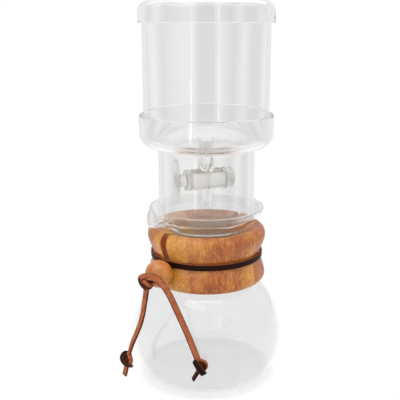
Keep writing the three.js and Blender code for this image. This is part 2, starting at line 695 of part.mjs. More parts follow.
for (const [side, route, faceTurnDeg, stubDirection] of tails) {
  addPiece(`tie_tail_${side}`, tail(route, faceTurnDeg), leatherLook);
  const socket = toSolid(tail(route, faceTurnDeg, seatGap));
  mainKnot = mainKnot.subtract(socket);

  const end = new THREE.Vector3(...route[route.length - 1]);
  const before = new THREE.Vector3(...route[route.length - 2]);
  const down = end.clone().sub(before).normalize();
  const centre = end.clone().addScaledVector(down, endKnotLength / 2 - tailSeat);
  const stub = new THREE.ExtrudeGeometry(flatSection(laceWidth, laceThickness, 90), {
    depth: stubLength + endKnotLength / 4,
    bevelEnabled: false,
  });
  stub.translate(0, 0, endKnotLength / 4);
  const placeAlong = (geometry, direction) => {
    const lean = new THREE.Quaternion().setFromUnitVectors(new THREE.Vector3(0, 0, 1), direction);
    return toSolid(geometry.applyQuaternion(lean).translate(...centre.toArray()));
  };
  const endKnot = placeAlong(revolve(knotProfile(endKnotRadius, endKnotLength), smallSides / 2), down)
    .add(placeAlong(stub, new THREE.Vector3(...stubDirection).normalize()));
  addPiece(`tail_knot_${side}`, toGeometry(endKnot.subtract(socket)), leatherLook);
}
addPiece('tie_knot', toGeometry(mainKnot), leatherLook);

export default model;
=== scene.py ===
# A stacked glass cold drip coffee maker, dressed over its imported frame.
# +Z up, the origin at the centre of the carafe's base, -Y the spout's side. The pieces' own values are in
# millimetres, which meshPiece turns into metres. The camera's, the lamps' and the stage's are in metres.

from math import atan2, cos, degrees, pi, radians, sin, sqrt

import bmesh
import bpy
import numpy as np
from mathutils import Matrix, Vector


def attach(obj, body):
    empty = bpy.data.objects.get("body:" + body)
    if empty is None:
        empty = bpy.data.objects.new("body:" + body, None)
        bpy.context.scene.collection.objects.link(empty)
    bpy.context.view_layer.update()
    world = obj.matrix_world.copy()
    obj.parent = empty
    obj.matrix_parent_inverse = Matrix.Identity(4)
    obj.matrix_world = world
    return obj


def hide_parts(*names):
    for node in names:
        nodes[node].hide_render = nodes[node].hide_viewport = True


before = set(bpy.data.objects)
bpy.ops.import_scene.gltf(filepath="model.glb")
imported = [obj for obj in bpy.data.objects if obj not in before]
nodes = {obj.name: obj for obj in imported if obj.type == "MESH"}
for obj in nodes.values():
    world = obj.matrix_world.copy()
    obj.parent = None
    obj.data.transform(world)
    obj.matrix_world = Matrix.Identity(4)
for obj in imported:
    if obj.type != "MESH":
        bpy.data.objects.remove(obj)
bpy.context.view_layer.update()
mm = 0.001
print("frame loaded:", len(nodes), "nodes")


camera = {
    "azimuth": 55,  # degrees round from the spout's side
    "elevation": 13.9,
    "distance": 0.583,
    "aimHeight": 0.1507,
    "lens": 63.0,
    "sensor": 36,
    "shiftX": -0.01625,
}


def placeFacing(name, data, height, azimuth, elevation, distance):
    # a camera or lamp that looks at the axis at some height; from azimuth a and elevation e in degrees it
    # stands along (sin a cos e, -cos a cos e, sin e)
    item = bpy.data.objects.new(name, data)
    bpy.context.scene.collection.objects.link(item)
    a, e = radians(azimuth), radians(elevation)
    direction = Vector((sin(a) * cos(e), -cos(a) * cos(e), sin(e)))
    item.location = Vector((0, 0, height)) + direction * distance
    item.rotation_euler = (-direction).to_track_quat("-Z", "Y").to_euler()
    return item


def makeCamera(values):
    data = bpy.data.cameras.new("studioCamera")
    data.lens = values["lens"]
    data.sensor_width = values["sensor"]
    data.shift_x = values["shiftX"]
    data.clip_start, data.clip_end = 0.01, 50
    place = [values[key] for key in ("aimHeight", "azimuth", "elevation", "distance")]
    bpy.context.scene.camera = placeFacing("studioCamera", data, *place)


makeCamera(camera)
print("camera placed")


def looseObject(name, verts, faces):
    mesh = bpy.data.meshes.new(name)
    mesh.from_pydata(np.asarray(verts, float).tolist(), [], faces)
    mesh.validate()
    item = bpy.data.objects.new(name, mesh)
    bpy.context.scene.collection.objects.link(item)
    return item


def finishPiece(piece, body, material, replaced, smoothAngle):
    # smooth shading, with sharp edges past the angle in degrees, or none where it is 0
    mesh = piece.data
    mesh.materials.clear()
    mesh.materials.append(material)
    mesh.polygons.foreach_set("use_smooth", np.ones(len(mesh.polygons), bool))
    if smoothAngle:
        mesh.set_sharp_from_angle(angle=radians(smoothAngle))
    mesh.update()
    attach(piece, body)
    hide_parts(replaced)
    return piece


def meshPiece(name, verts, faces, body, material, replaced, smoothAngle):
    # a piece from points in millimetres
    piece = looseObject(name, np.asarray(verts) * mm, faces)
    return finishPiece(piece, body, material, replaced, smoothAngle)


def outward(piece):
    # turns all faces so that they look out of the solid
    made = bmesh.new()
    made.from_mesh(piece.data)
    bmesh.ops.recalc_face_normals(made, faces=made.faces)
    made.to_mesh(piece.data)
    made.free()


def withValue(piece, name, values):
    # one number for each point, which a material reads by its name
    attribute = piece.data.attributes.new(name, "FLOAT", "POINT")
    attribute.data.foreach_set("value", np.asarray(values, np.float32))


def arc(centre, radius, start, end, steps):
    # points of an arc between two angles in degrees, ends included
    a = np.radians(np.linspace(start, end, steps + 1))
    return np.column_stack([centre[0] + radius * np.cos(a), centre[1] + radius * np.sin(a)])


def lipBetween(outerEnd, innerEnd):
    # the half circle that rounds a wall's edge from its outer to its inner face
    centre = (np.asarray(outerEnd) + np.asarray(innerEnd)) / 2
    reach = np.asarray(outerEnd) - centre
    start = degrees(atan2(reach[1], reach[0]))
    return arc(centre, np.hypot(*reach), start, start + 180, 8)[1:-1]


def wallBetween(outer, inner):
    # one line: up the outside, over the rounded edge and down the inside
    return np.vstack([outer, lipBetween(outer[-1], inner[-1]), inner[::-1]])


def gridFaces(rows, columns, closed=False):
    # quads of a grid of points: the columns run round and meet, and so do the rows where closed
    i = np.arange(rows if closed else rows - 1)
    i, j = np.meshgrid(i, np.arange(columns), indexing="ij")
    nextI, nextJ = (i + 1) % rows, (j + 1) % columns
    corners = [i * columns + j, i * columns + nextJ, nextI * columns + nextJ, nextI * columns + j]
    return np.stack(corners, -1).reshape(-1, 4).tolist()


def cappedFaces(rows, columns):
    # the same open grid with one face over each end
    ends = [list(range(columns))[::-1], [(rows - 1) * columns + k for k in range(columns)]]
    return gridFaces(rows, columns) + ends


def revolve(profile, sides):
    # each profile point (radius, height) goes round Z: x = r sin a, y = -r cos a, from a = 0 at the front;
    # a profile that starts on the axis ends there too and is closed by fans, any other one closes on itself
    profile = np.asarray(profile, float)
    onAxis = profile[0, 0] < 1e-9
    rings = profile[1:-1] if onAxis else profile
    radius, height = rings[:, :1], rings[:, 1:2]
    a = np.arange(sides) * 2 * pi / sides
    points = [radius * np.sin(a), -radius * np.cos(a), np.repeat(height, sides, axis=1)]
    verts = np.stack(points, -1).reshape(-1, 3)
    faces = gridFaces(len(rings), sides, not onAxis)
    if onAxis:
        foot, top, last = len(verts), len(verts) + 1, len(verts) - sides
        verts = np.vstack([verts, [0, 0, profile[0, 1]], [0, 0, profile[-1, 1]]])
        j = np.arange(sides)
        following = (j + 1) % sides
        faces += np.column_stack([np.full(sides, foot), following, j]).tolist()
        faces += np.column_stack([np.full(sides, top), last + j, last + following]).tolist()
    return verts, faces


def joined(*shapes):
    # several shapes of points and faces as one
    verts, faces, count = [], [], 0
    for v, f in shapes:
        verts.append(np.asarray(v, float))
        faces += [[k + count for k in face] for face in f]
        count += len(v)
    return np.vstack(verts), faces


def carved(base, steps):
    # adds and cuts the tool shapes in turn, then keeps the result as the base's own mesh
    for operation, tool in steps:
        cut = base.modifiers.new(operation.lower(), "BOOLEAN")
        cut.operation, cut.solver, cut.object = operation, "EXACT", tool
    evaluated = base.evaluated_get(bpy.context.evaluated_depsgraph_get())
    mesh = bpy.data.meshes.new_from_object(evaluated)
    base.modifiers.clear()
    base.data = mesh
    for _, tool in steps:
        bpy.data.objects.remove(tool)


class NodeTree:
    # the nodes of a material or of the world, with short calls to add and join them
    def __init__(self, owner):
        owner.use_nodes = True
        self.tree = owner.node_tree

    def put(self, value, socket):
        # joins another node's output to the socket, or writes a plain value into it
        if isinstance(value, bpy.types.NodeSocket):
            self.tree.links.new(value, socket)
        else:
            socket.default_value = value

    def node(self, kind, inputs=(), **settings):
        made = self.tree.nodes.new(kind)
        for key, value in settings.items():
            setattr(made, key, value)
        for key, value in dict(inputs).items():
            self.put(value, made.inputs[key])
        return made

    def math(self, operation, first, second=0.0, third=0.0):
        inputs = {0: first, 1: second, 2: third}
        return self.node("ShaderNodeMath", inputs, operation=operation).outputs[0]

    def mix(self, share, first, second, mode="MIX"):
        # the first colour where the share is 0 and the second where it is 1
        made = self.node("ShaderNodeMix", {0: share}, data_type="RGBA", blend_type=mode)
        for index, color in ((6, first), (7, second)):
            self.put((*color, 1) if isinstance(color, tuple) else color, made.inputs[index])
        return made.outputs[2]

    def seenRays(self):
        # 1 for camera, glossy and transmission rays, 0 for the rays that gather plain light
        rays = self.node("ShaderNodeLightPath").outputs
        seen = self.math("MAXIMUM", rays["Is Camera Ray"], rays["Is Glossy Ray"])
        return self.math("MAXIMUM", seen, rays["Is Transmission Ray"])


class Shader(NodeTree):
    # a material, with its Principled shader as its body
    def __init__(self, name):
        self.material = bpy.data.materials.new(name)
        super().__init__(self.material)
        self.body = self.tree.nodes["Principled BSDF"]

    def position(self):
        return self.node("ShaderNodeTexCoord").outputs["Object"]

    def coordinates(self, stretch=(1, 1, 1)):
        return self.node("ShaderNodeMapping", {"Vector": self.position(), "Scale": stretch}).outputs[0]

    def noise(self, scale, detail, roughness=0.5, distortion=0, stretch=(1, 1, 1)):
        inputs = {"Vector": self.coordinates(stretch), "Scale": scale, "Detail": detail}
        inputs.update({"Roughness": roughness, "Distortion": distortion})
        return self.node("ShaderNodeTexNoise", inputs).outputs["Fac"]

    def cells(self, scale, stretch=(1, 1, 1)):
        # the distance to the nearest of many scattered points
        inputs = {"Vector": self.coordinates(stretch), "Scale": scale, "Randomness": 1}
        return self.node("ShaderNodeTexVoronoi", inputs).outputs["Distance"]

    def attribute(self, name):
        return self.node("ShaderNodeAttribute", attribute_name=name).outputs["Fac"]

    def ramp(self, factor, stops, interpolation="LINEAR"):
        # each stop is a position and a colour, or a position and one number for a grey
        made = self.node("ShaderNodeValToRGB", {"Fac": factor})
        made.color_ramp.interpolation = interpolation
        elements = made.color_ramp.elements
        while len(elements) < len(stops):
            elements.new(0.5)
        for element, (position, tone) in zip(elements, stops):
            element.position = position
            element.color = (*tone, 1) if isinstance(tone, tuple) else (tone, tone, tone, 1)
        return made.outputs["Color"]

    def surface(self, values):
        for key, value in values.items():
            self.put(value, self.body.inputs[key])

    def bump(self, height, strength, distance):
        inputs = {"Height": height, "Strength": strength, "Distance": distance}
        self.put(self.node("ShaderNodeBump", inputs).outputs["Normal"], self.body.inputs["Normal"])

    def glow(self, color, strength=1.0):
        return self.node("ShaderNodeEmission", {"Color": color, "Strength": strength}).outputs[0]

    def show(self, shader):
        self.put(shader, self.tree.nodes["Material Output"].inputs["Surface"])

    def showMixed(self, share, first, second):
        # the first shader where the share is 0 and the second where it is 1
        self.show(self.node("ShaderNodeMixShader", {0: share, 1: first, 2: second}).outputs[0])


def srgb(r, g, b):
    # screen colour from 0 to 255 to the linear values the shaders take
    c = np.array([r, g, b]) / 255
    return tuple(np.where(c < 0.04045, c / 12.92, ((c + 0.055) / 1.055) ** 2.4).tolist())


glassLook = {"tint": (0.96, 0.959, 0.957), "roughness": 0.0, "ior": 1.46, "lampShare": 0.985}
carafeLook = {**glassLook, "tint": (0.9, 0.9, 0.9)}
lidLook = {**glassLook, "tint": (0.97, 0.972, 0.972)}


def makeGlass(name, values):
    look = Shader(name)
    look.surface({
        "Base Color": (*values["tint"], 1),
        "Roughness": values["roughness"],
        "IOR": values["ior"],
        "Transmission Weight": 1.0,
    })
    # lamps pass through, so that the glass throws a light shadow and not a solid one
    share = values["lampShare"]
    clear = look.node("ShaderNodeBsdfTransparent", {"Color": (share, share, share, 1)}).outputs[0]
    look.showMixed(look.node("ShaderNodeLightPath").outputs["Is Shadow Ray"], look.body.outputs[0], clear)
    return look.material


ptfeLook = {
    "color": srgb(254, 253, 250), "roughness": 0.5, "grain": 0.02, "grainScale": 160, "translucency": 0.94,
}
siliconeLook = {
    "color": srgb(226, 224, 216), "roughness": 0.6, "grain": 0.06, "grainScale": 300, "translucency": 0.0,
}


def makePlain(name, values):
    # one colour with fine spots that are darker by the grain's share
    look = Shader(name)
    spots = look.noise(values["grainScale"], 3)
    darker = tuple(part * (1 - values["grain"]) for part in values["color"])
    look.surface({
        "Base Color": look.ramp(spots, [(0.3, darker), (0.7, values["color"])]),
        "Roughness": values["roughness"],
        "Transmission Weight": values["translucency"],
        "IOR": 1.25,
    })
    look.bump(spots, 0.08, 0.0002)
    return look.material


woodLook = {
    "golden": srgb(240, 174, 80),
    "light": srgb(204, 122, 50),
    "middle": srgb(178, 92, 32),
    "dark": srgb(138, 62, 20),
    "pore": srgb(104, 50, 20),
    "cut": srgb(186, 96, 50),
    # paler tone painted on a collar's shaded inside: painted light
    "bare": srgb(255, 214, 170),
    "roughness": 0.42,
    "fibreShare": 0.336,
    "poreShare": 0.8,
    # scale of each pattern and its stretch, which is below 1 where it is drawn out along Z
    "figure": (46, (1, 1, 0.2)),
    "mottle": (170, (1, 1, 0.4)),
    "fibres": (560, (1, 1, 0.4)),
    "pores": (840, (1, 1, 0.42)),
    "patches": (90, (1, 1, 0.6)),
    # painted light: tone added from the piece's left, towards the key lamp, to its right, with a faint
    # painted highlight near the right; over this way and half width in metres
    "lean": [
        (0, 0.02), (0.12, 0.16), (0.2, 0.34), (0.3, 0.26), (0.42, 0.02), (0.6, 0.0), (0.85, 0.04), (1, 0.0),
    ],
    "leanWay": (0.574, 0.819, 0.0),
    "leanReach": 0.05,
}


def makeWood(name, values):
    # grain runs up the piece: broad soft figure, fine fibres and short dark pores, all drawn out along Z;
    # painted light makes the tone run from golden at the piece's left, the side towards the key lamp, to
    # orange brown at its right
    look = Shader(name)
    dark, middle, light, golden = (values[key] for key in ("dark", "middle", "light", "golden"))
    # painted light: the piece's left, towards the key lamp, is painted lighter and more golden than its right
    inputs = {0: look.position(), 1: values["leanWay"]}
    aside = look.node("ShaderNodeVectorMath", inputs, operation="DOT_PRODUCT").outputs["Value"]
    inputs = {"Value": aside, "From Min": -values["leanReach"], "From Max": values["leanReach"]}
    reach = look.node("ShaderNodeMapRange", inputs).outputs["Result"]
    lean = look.ramp(reach, values["lean"], "EASE")
    scale, stretch = values["figure"]
    broad = look.math("ADD", look.noise(scale, 3, 0.6, 0.6, stretch), lean)
    scale, stretch = values["mottle"]
    broad = look.math("MULTIPLY_ADD", look.noise(scale, 3, 0.6, 0, stretch), 0.34, broad)
    tone = look.ramp(broad, [(0.5, dark), (0.61, middle), (0.74, light), (0.9, golden)])
    scale, stretch = values["fibres"]
    fibres = look.noise(scale, 4, 0.7, 0, stretch)
    fine = look.ramp(fibres, [(0.36, dark), (0.5, middle), (0.64, golden)])
    tone = look.mix(values["fibreShare"], tone, fine)
    # pores: short dark dashes in cells, only in patches and mostly on the side that the painted light makes
    # golden
    hole = look.ramp(look.cells(*values["pores"]), [(0.1, 1), (0.32, 0)])
    scale, stretch = values["patches"]
    patches = look.math("MULTIPLY_ADD", lean, 0.6, look.noise(scale, 2, stretch=stretch))
    share = look.mix(1.0, hole, look.ramp(patches, [(0.4, 0), (0.6, 1)]), "MULTIPLY")
    share = look.mix(1.0, share, (values["poreShare"],) * 3, "MULTIPLY")
    tone = look.mix(share, tone, values["pore"])
    tone = look.mix(look.attribute("shade"), tone, values["cut"])
    # painted light: the collar's shaded inside is painted paler
    tone = look.mix(look.attribute("bare"), tone, values["bare"])
    look.surface({
        "Base Color": tone,
        "Roughness": values["roughness"],
        "Coat Weight": 0.15,
        "Coat Roughness": 0.35,
    })
    look.bump(look.mix(0.5, fibres, share), 0.15, 0.0003)
    return look.material


beadLook = {
    **woodLook,
    "golden": srgb(222, 144, 66),
    "light": srgb(208, 128, 56),
    "middle": srgb(190, 108, 44),
    "dark": srgb(150, 70, 24),
    "roughness": 0.2,
    "fibreShare": 0.294,
    "poreShare": 0.2,
}
leatherLook = {
    "suede": srgb(192, 114, 76),
    "suedeDeep": srgb(164, 90, 58),
    "cut": srgb(96, 50, 34),
    "grain": srgb(38, 14, 8),
    "suedeRoughness": 0.85,
    "grainRoughness": 0.5,
}


def makeLeather(name, values):
    # the shade attribute is 0 on the tan suede face, 0.5 on the cut edges and 1 on the near-black grain face
    look = Shader(name)
    pebble = look.cells(1500)
    cloudy = look.noise(300, 4, 0.65)
    shade = look.attribute("shade")
    suede = look.ramp(cloudy, [(0.36, values["suedeDeep"]), (0.62, values["suede"])])
    tone = look.mix(look.ramp(shade, [(0.15, 0), (0.45, 1)]), suede, values["cut"])
    tone = look.mix(look.ramp(shade, [(0.6, 0), (0.85, 1)]), tone, values["grain"])
    rough = look.ramp(shade, [(0.5, values["suedeRoughness"]), (0.8, values["grainRoughness"])])
    look.surface({"Base Color": tone, "Roughness": rough, "Specular IOR Level": 0.08})
    look.bump(look.mix(0.4, cloudy, pebble), 0.3, 0.0003)
    return look.material


steelLook = {"color": (0.62, 0.63, 0.64), "lines": 2600, "roughness": (0.22, 0.38)}


def makeSteel(name, values):
    # brushed lines along Y that change the roughness
    look = Shader(name)
    lines = look.noise(values["lines"], 2, stretch=(1, 0.03, 1))
    smooth, matt = values["roughness"]
    look.surface({
        "Base Color": (*values["color"], 1),
        "Metallic": 1.0,
        "Roughness": look.ramp(lines, [(0.3, smooth), (0.7, matt)]),
    })
    look.bump(lines, 0.05, 0.0001)
    return look.material


glass = makeGlass("clearGlass", glassLook)
carafeGlass = makeGlass("carafeGlass", carafeLook)
lidGlass = makeGlass("lidGlass", lidLook)
ptfe = makePlain("whiteFluoropolymer", ptfeLook)
silicone = makePlain("mattSilicone", siliconeLook)
steel = makeSteel("sieveSteel", steelLook)
collarWood = makeWood("oiledCollarWood", woodLook)
beadWood = makeWood("polishedBeadWood", beadLook)
leather = makeLeather("twoSidedLeather", leatherLook)
print("materials made")


laceStrap = {
    "width": 5.0, "thickness": 1.8, "soft": 0.35, "steps": 90, "wave": 0.05,
    "knotThickness": 1.62, "knotSteps": 48,
}
leftTail = {
    "route": [
        (18.7, -70.0, 94.7), (18.4, -70.1, 91.1), (17.9, -70.4, 87.3), (17.4, -70.8, 83.6),
        (17.1, -71.3, 79.9), (16.7, -71.7, 76.2), (16.2, -72.2, 72.5), (15.5, -72.9, 68.7),
        (14.6, -73.5, 64.8), (13.3, -74.2, 60.8), (11.6, -74.9, 56.6), (9.6, -75.6, 52.2),
        (7.6, -76.3, 47.9), (5.7, -76.9, 43.5), (4.1, -77.5, 39.2), (2.8, -78.0, 34.9),
    ],
    "faceTurn": 74,
    "twist": 28,
}
rightTail = {
    "route": [
        (15.2, -70.6, 100.4), (18.7, -70.1, 102.1), (22.5, -69.0, 103.3), (26.4, -67.4, 103.5),
        (30.1, -65.4, 102.0), (33.1, -63.4, 99.1), (35.3, -61.6, 95.3), (36.9, -60.0, 91.2),
        (38.2, -58.5, 87.0), (39.4, -57.1, 82.7), (40.6, -55.7, 78.4), (41.8, -54.3, 74.1),
        (43.0, -52.9, 69.8), (44.3, -51.6, 65.5), (45.6, -50.3, 61.2), (46.9, -49.1, 56.9),
        (48.2, -48.0, 52.6), (49.6, -46.9, 48.3), (51.1, -45.9, 44.0), (52.5, -44.9, 39.6),
    ],
    "faceTurn": 50,
    "twist": 0,
}


def unit(vectors):
    # each vector divided by its own length
    return vectors / np.linalg.norm(vectors, axis=-1, keepdims=True)


def readAt(at, known, values):
    # each column of the values, read off between the known places
    return np.column_stack([np.interp(at, known, column) for column in np.asarray(values, float).T])


def catmullRom(a, b, c, d, t):
    # the cubic from b at t = 0 to c at t = 1 whose slopes there are (c - a) / 2 and (d - b) / 2
    bend, turn = 2 * a - 5 * b + 4 * c - d, 3 * b - a - 3 * c + d
    return 0.5 * (2 * b + (c - a) * t + bend * t**2 + turn * t**3)


def smoothRoute(points, count):
    # a Catmull-Rom curve through the points, then points an even distance apart along it, and its length
    p = np.asarray(points, float)
    p = np.vstack([2 * p[0] - p[1], p, 2 * p[-1] - p[-2]])
    t = np.linspace(0, 1, 24, endpoint=False)[:, None]
    stretches = [catmullRom(*ends, t) for ends in zip(p[:-3], p[1:-2], p[2:-1], p[3:])]
    line = np.vstack([*stretches, p[-2:-1]])
    walked = np.concatenate([[0], np.cumsum(np.linalg.norm(np.diff(line, axis=0), axis=1))])
    return readAt(np.linspace(0, walked[-1], count), walked, line), walked[-1]


def carriedFrames(line):
    # two directions across the path, handed on from point to point without turning about it
    tangents = unit(np.gradient(line, axis=0))
    start = np.zeros(3)
    start[np.argmin(np.abs(tangents[0]))] = 1
    normal = np.cross(tangents[0], unit(np.cross(tangents[0], start)))
    normals = []
    for tangent in tangents:
        normal = unit(normal - tangent * np.dot(normal, tangent))
        normals.append(normal)
    normals = np.array(normals)
    return normals, np.cross(tangents, normals)


def strapSection(width, thickness, soft):
    # a flat strip's outline with rounded edges, and its shade: 0 on top, 0.5 at the cut edges, 1 below
    r = thickness * soft
    w, t = width / 2 - r, thickness / 2 - r
    corners = [((w, t), 0), ((-w, t), 90), ((-w, -t), 180), ((w, -t), 270)]
    points = []
    for index, (centre, start) in enumerate(corners):
        points.append(arc(centre, r, start, start + 90, 4))
        following = corners[(index + 1) % 4][0]
        if index % 2 == 0:  # extra points across the wide faces keep the shading clean
            y = t + r if index == 0 else -t - r
            share = np.linspace(0, 1, 7)[1:-1, None]
            x = centre[0] + (following[0] - centre[0]) * share
            points.append(np.hstack([x, np.full((5, 1), y)]))
    outline = np.vstack(points)
    side = np.clip((np.abs(outline[:, 0]) - (width / 2 - thickness * 0.34)) / (thickness * 0.2), 0, 1)
    face = (outline[:, 1] < 0).astype(float)
    return outline, face + (0.5 - face) * side


def tube(line, across, through, outline):
    # the outline carried along a path: point = path + across times its first part + through times its second
    verts = line[:, None] + across[:, None] * outline[..., 0:1] + through[:, None] * outline[..., 1:2]
    return verts.reshape(-1, 3), cappedFaces(*verts.shape[:2])


def strapAlong(line, turn=0, twist=0, wave=0):
    # the lace carried along a path, its upper face turned by turn plus twist times the share of the way
    # and kept away from the object's axis; its thickness swells by wave times a sine
    outline, shade = strapSection(laceStrap["width"], laceStrap["thickness"], laceStrap["soft"])
    normals, binormals = carriedFrames(line)
    angle = np.radians(turn + twist * np.linspace(0, 1, len(line)))[:, None]
    across = normals * np.cos(angle) + binormals * np.sin(angle)
    through = binormals * np.cos(angle) - normals * np.sin(angle)
    if np.sum(through * line * [1, 1, 0]) < 0:
        shade = np.where(shade == 0.5, shade, 1 - shade)
    outline = np.repeat(outline[None], len(line), axis=0)
    outline[:, :, 1] *= 1 + wave * np.sin(np.linspace(0, 17, len(line)))[:, None]
    return *tube(line, across, through, outline), np.tile(shade, len(line))


def ribbon(points, facing, width, dark):
    # a strip through a few points; its upper face looks along the given directions, squared to the path
    steps = laceStrap["knotSteps"]
    line, _ = smoothRoute(points, steps)
    out = readAt(np.linspace(0, 1, steps), np.linspace(0, 1, len(facing)), facing)
    tangents = unit(np.gradient(line, axis=0))
    out = unit(out - tangents * np.sum(out * tangents, axis=1)[:, None])
    outline, shade = strapSection(width, laceStrap["knotThickness"], laceStrap["soft"])
    if dark:
        shade = 1 - shade
    verts, faces = tube(line, np.cross(tangents, out), out, np.repeat(outline[None], steps, axis=0))
    return verts, faces, np.tile(shade, steps)


def assembled(shapes):
    # several shapes of points, faces and shade as one
    verts, faces = joined(*[(v, f) for v, f, _ in shapes])
    return verts, faces, np.concatenate([shade for _, _, shade in shapes])


def leatherPiece(name, shape, replaced):
    # a part of the lace, with its shade at every point
    verts, faces, shade = shape
    piece = meshPiece(name, verts, faces, "carafe", leather, replaced, 50)
    outward(piece)
    withValue(piece, "shade", shade)
    return piece


# a knot's strips are lists of points, face directions, width and whether the dark face is up; every point and
# direction is right, up and near as seen from knotView degrees round
knotView = 55
endKnot = {"length": 15.0, "seat": 1.6, "stubStart": 1.5, "stubSteps": 14, "stubTurns": 2.2, "stubSway": 0.3}
leftKnot = {
    "stub": (-0.14, -0.19, -0.97),
    "stubTurn": 175,
    "stubLength": 7.0,
    "stubDark": 0.0,
    "core": (3.6, 9.5),
    "strips": [
        ([(1.5, 4.6, -1), (-2.2, 5.6, 0.5), (-4.7, 2.4, 1.2), (-3.4, -1.6, 2.4), (0, -4.2, 2.6),
          (3.4, -6, 1)],
         [(-0.2, 1, 0.3), (-1, 0.5, 0.8), (-0.8, -0.2, 1), (-0.3, -0.6, 1)], 3.9, True),
        ([(0.9, 7, 1.2), (2, 3.6, 2.6), (2.6, 0.2, 2.9), (1.6, -3.6, 1.4), (-0.6, -5, -1)],
         [(0, 0.2, 1), (0.5, 0, 1), (0.6, -0.3, 1)], 3.8, False),
    ],
}
rightKnot = {
    "stub": (-0.3, -0.42, -0.86),
    "stubTurn": 20,
    "stubLength": 4.6,
    "stubDark": 0.7,
    "core": (3.9, 9.5),
    "strips": [
        ([(-1, 5.4, -1.2), (1.4, 5.4, 0), (4, 4, 0.6), (4.9, 1.2, 0.8), (3.6, -1.4, 0.6), (1, -1.8, 0),
          (0, 0.6, -1)],
         [(0, 1, 0.2), (0.8, 0.7, 0.2), (1, -0.2, 0.2), (-0.1, -1, 0.2), (-1, 0.2, 0.2)], 3.8, False),
        ([(-4.6, 5, -1.6), (-3.6, 4.2, 1.6), (-1.4, 1.4, 3.6), (1, -2.2, 3.6), (2.6, -5, 1.6),
          (1.8, -5.4, -1.4)],
         [(-1, 0.6, 0.2), (-0.4, 0.3, 1), (0.2, 0, 1), (0.5, -0.8, 0.5)], 4.8, True),
    ],
}
mainKnot = {
    "standOff": 4.244,
    "shift": (0.9, 0.9, 0.8),
    "core": (3.6, 8.5),
    "strips": [
        ([(-1, 0, -1), (-4.4, 0.2, 0.4), (-4.8, 3.2, 1.2), (-1.6, 5, 1.8), (2.6, 4.8, 1.6), (6.6, 3.4, 0)],
         [(-1, 0, 0.5), (-0.6, 0.6, 1), (0, 0.6, 1), (0.2, 0.6, 1)], 4.4, False),
        ([(-3, 5, -1), (-5.4, 2.6, 0.6), (-4.6, -1, 1.4), (-1.8, -4.6, 1.8), (2, -5.4, 1), (4.6, -3, -0.4)],
         [(-1, 0.6, 0.2), (-1, -0.2, 0.8), (-0.2, -1, 0.8), (0.8, -0.8, 0.3)], 3.6, True),
        ([(-3, 1.6, 1.6), (-0.6, 0.2, 3), (1.6, -2, 2.8), (3.6, -4, 0.8)],
         [(-0.3, 0, 1), (0.3, -0.2, 1), (0.6, -0.5, 0.8)], 3.6, False),
    ],
}


def knotCore(radius, length):
    # an egg that fills the knot behind its strips: radius times sin u to the power 0.7, swelling a little
    # three times round, at height -half length times cos u
    rows, columns = 24, 32
    u = np.linspace(0.02, 0.98, rows)[:, None] * pi
    a = np.arange(columns)[None, :] * 2 * pi / columns
    r = radius * np.sin(u) ** 0.7 * (1 + 0.06 * np.cos(3 * a + u))
    verts = np.stack([r * np.cos(a), -length / 2 * np.cos(u) + 0 * a, r * np.sin(a)], -1).reshape(-1, 3)
    return verts, cappedFaces(rows, columns), np.full(len(verts), 0.75)


def knotShape(values, centre):
    # the core and the strips, turned to the side they are drawn from and moved to the knot's centre
    strips = [ribbon(*strip) for strip in values["strips"]]
    verts, faces, shade = assembled([knotCore(*values["core"]), *strips])
    turn = radians(knotView)
    axes = np.array([[cos(turn), sin(turn), 0], [0, 0, 1], [sin(turn), -cos(turn), 0]])
    return verts @ axes + centre, faces, shade


def makeEndKnot(name, line, values, replaced):
    # the knot sits on the tail's end, and its stub leaves it along the given direction with a slight sway
    down = unit(line[-1] - line[-4])
    length, steps = endKnot["length"], endKnot["stubSteps"]
    centre = line[-1] + down * (length / 2 - endKnot["seat"])
    reach = np.linspace(endKnot["stubStart"], values["stubLength"] + length / 2, steps)
    stubLine = centre + unit(np.array(values["stub"])) * reach[:, None]
    sway = np.sin(np.linspace(0, endKnot["stubTurns"], steps)) * endKnot["stubSway"]
    stubLine += np.outer(sway, [1, 1, 0])
    stubVerts, stubFaces, stubShade = strapAlong(stubLine, values["stubTurn"])
    stub = (stubVerts, stubFaces, np.clip(stubShade + values["stubDark"], 0, 1))
    return leatherPiece(name, assembled([knotShape(values, centre), stub]), replaced)


sides = ("Left", leftTail, leftKnot), ("Right", rightTail, rightKnot)
tails = []
for side, tail, _ in sides:
    line, length = smoothRoute(tail["route"], laceStrap["steps"])
    shape = strapAlong(line, tail["faceTurn"], tail["twist"], laceStrap["wave"])
    tails.append((leatherPiece("laceTail" + side, shape, "tie_tail_" + side.lower()), line, length))
for (side, _, knot), (strap, line, length) in zip(sides, tails):
    knotPiece = makeEndKnot("laceEndKnot" + side, line, knot, "tail_knot_" + side.lower())
    print("lace tail hung:", side, round(length, 1))


wall = 2.2
overrun = 3  # how far a cutting shape goes past the glass
carafeForm = {
    "bulbRadius": 63.2, "bulbHeight": 35.15, "heelRadius": 16, "shoulderFillet": 8, "neckRadius": 31.5,
    "funnelTilt": 52, "funnelFlare": 5, "bowlRadius": 22, "rimTilt": 20, "rimRadius": 47.6, "rimHeight": 145,
    "spoutRoot": 129.68, "spoutReach": 8, "spoutDrop": 8, "spoutHalfAngle": 25, "tipSharpness": 0.2,
    "sides": 240,
}


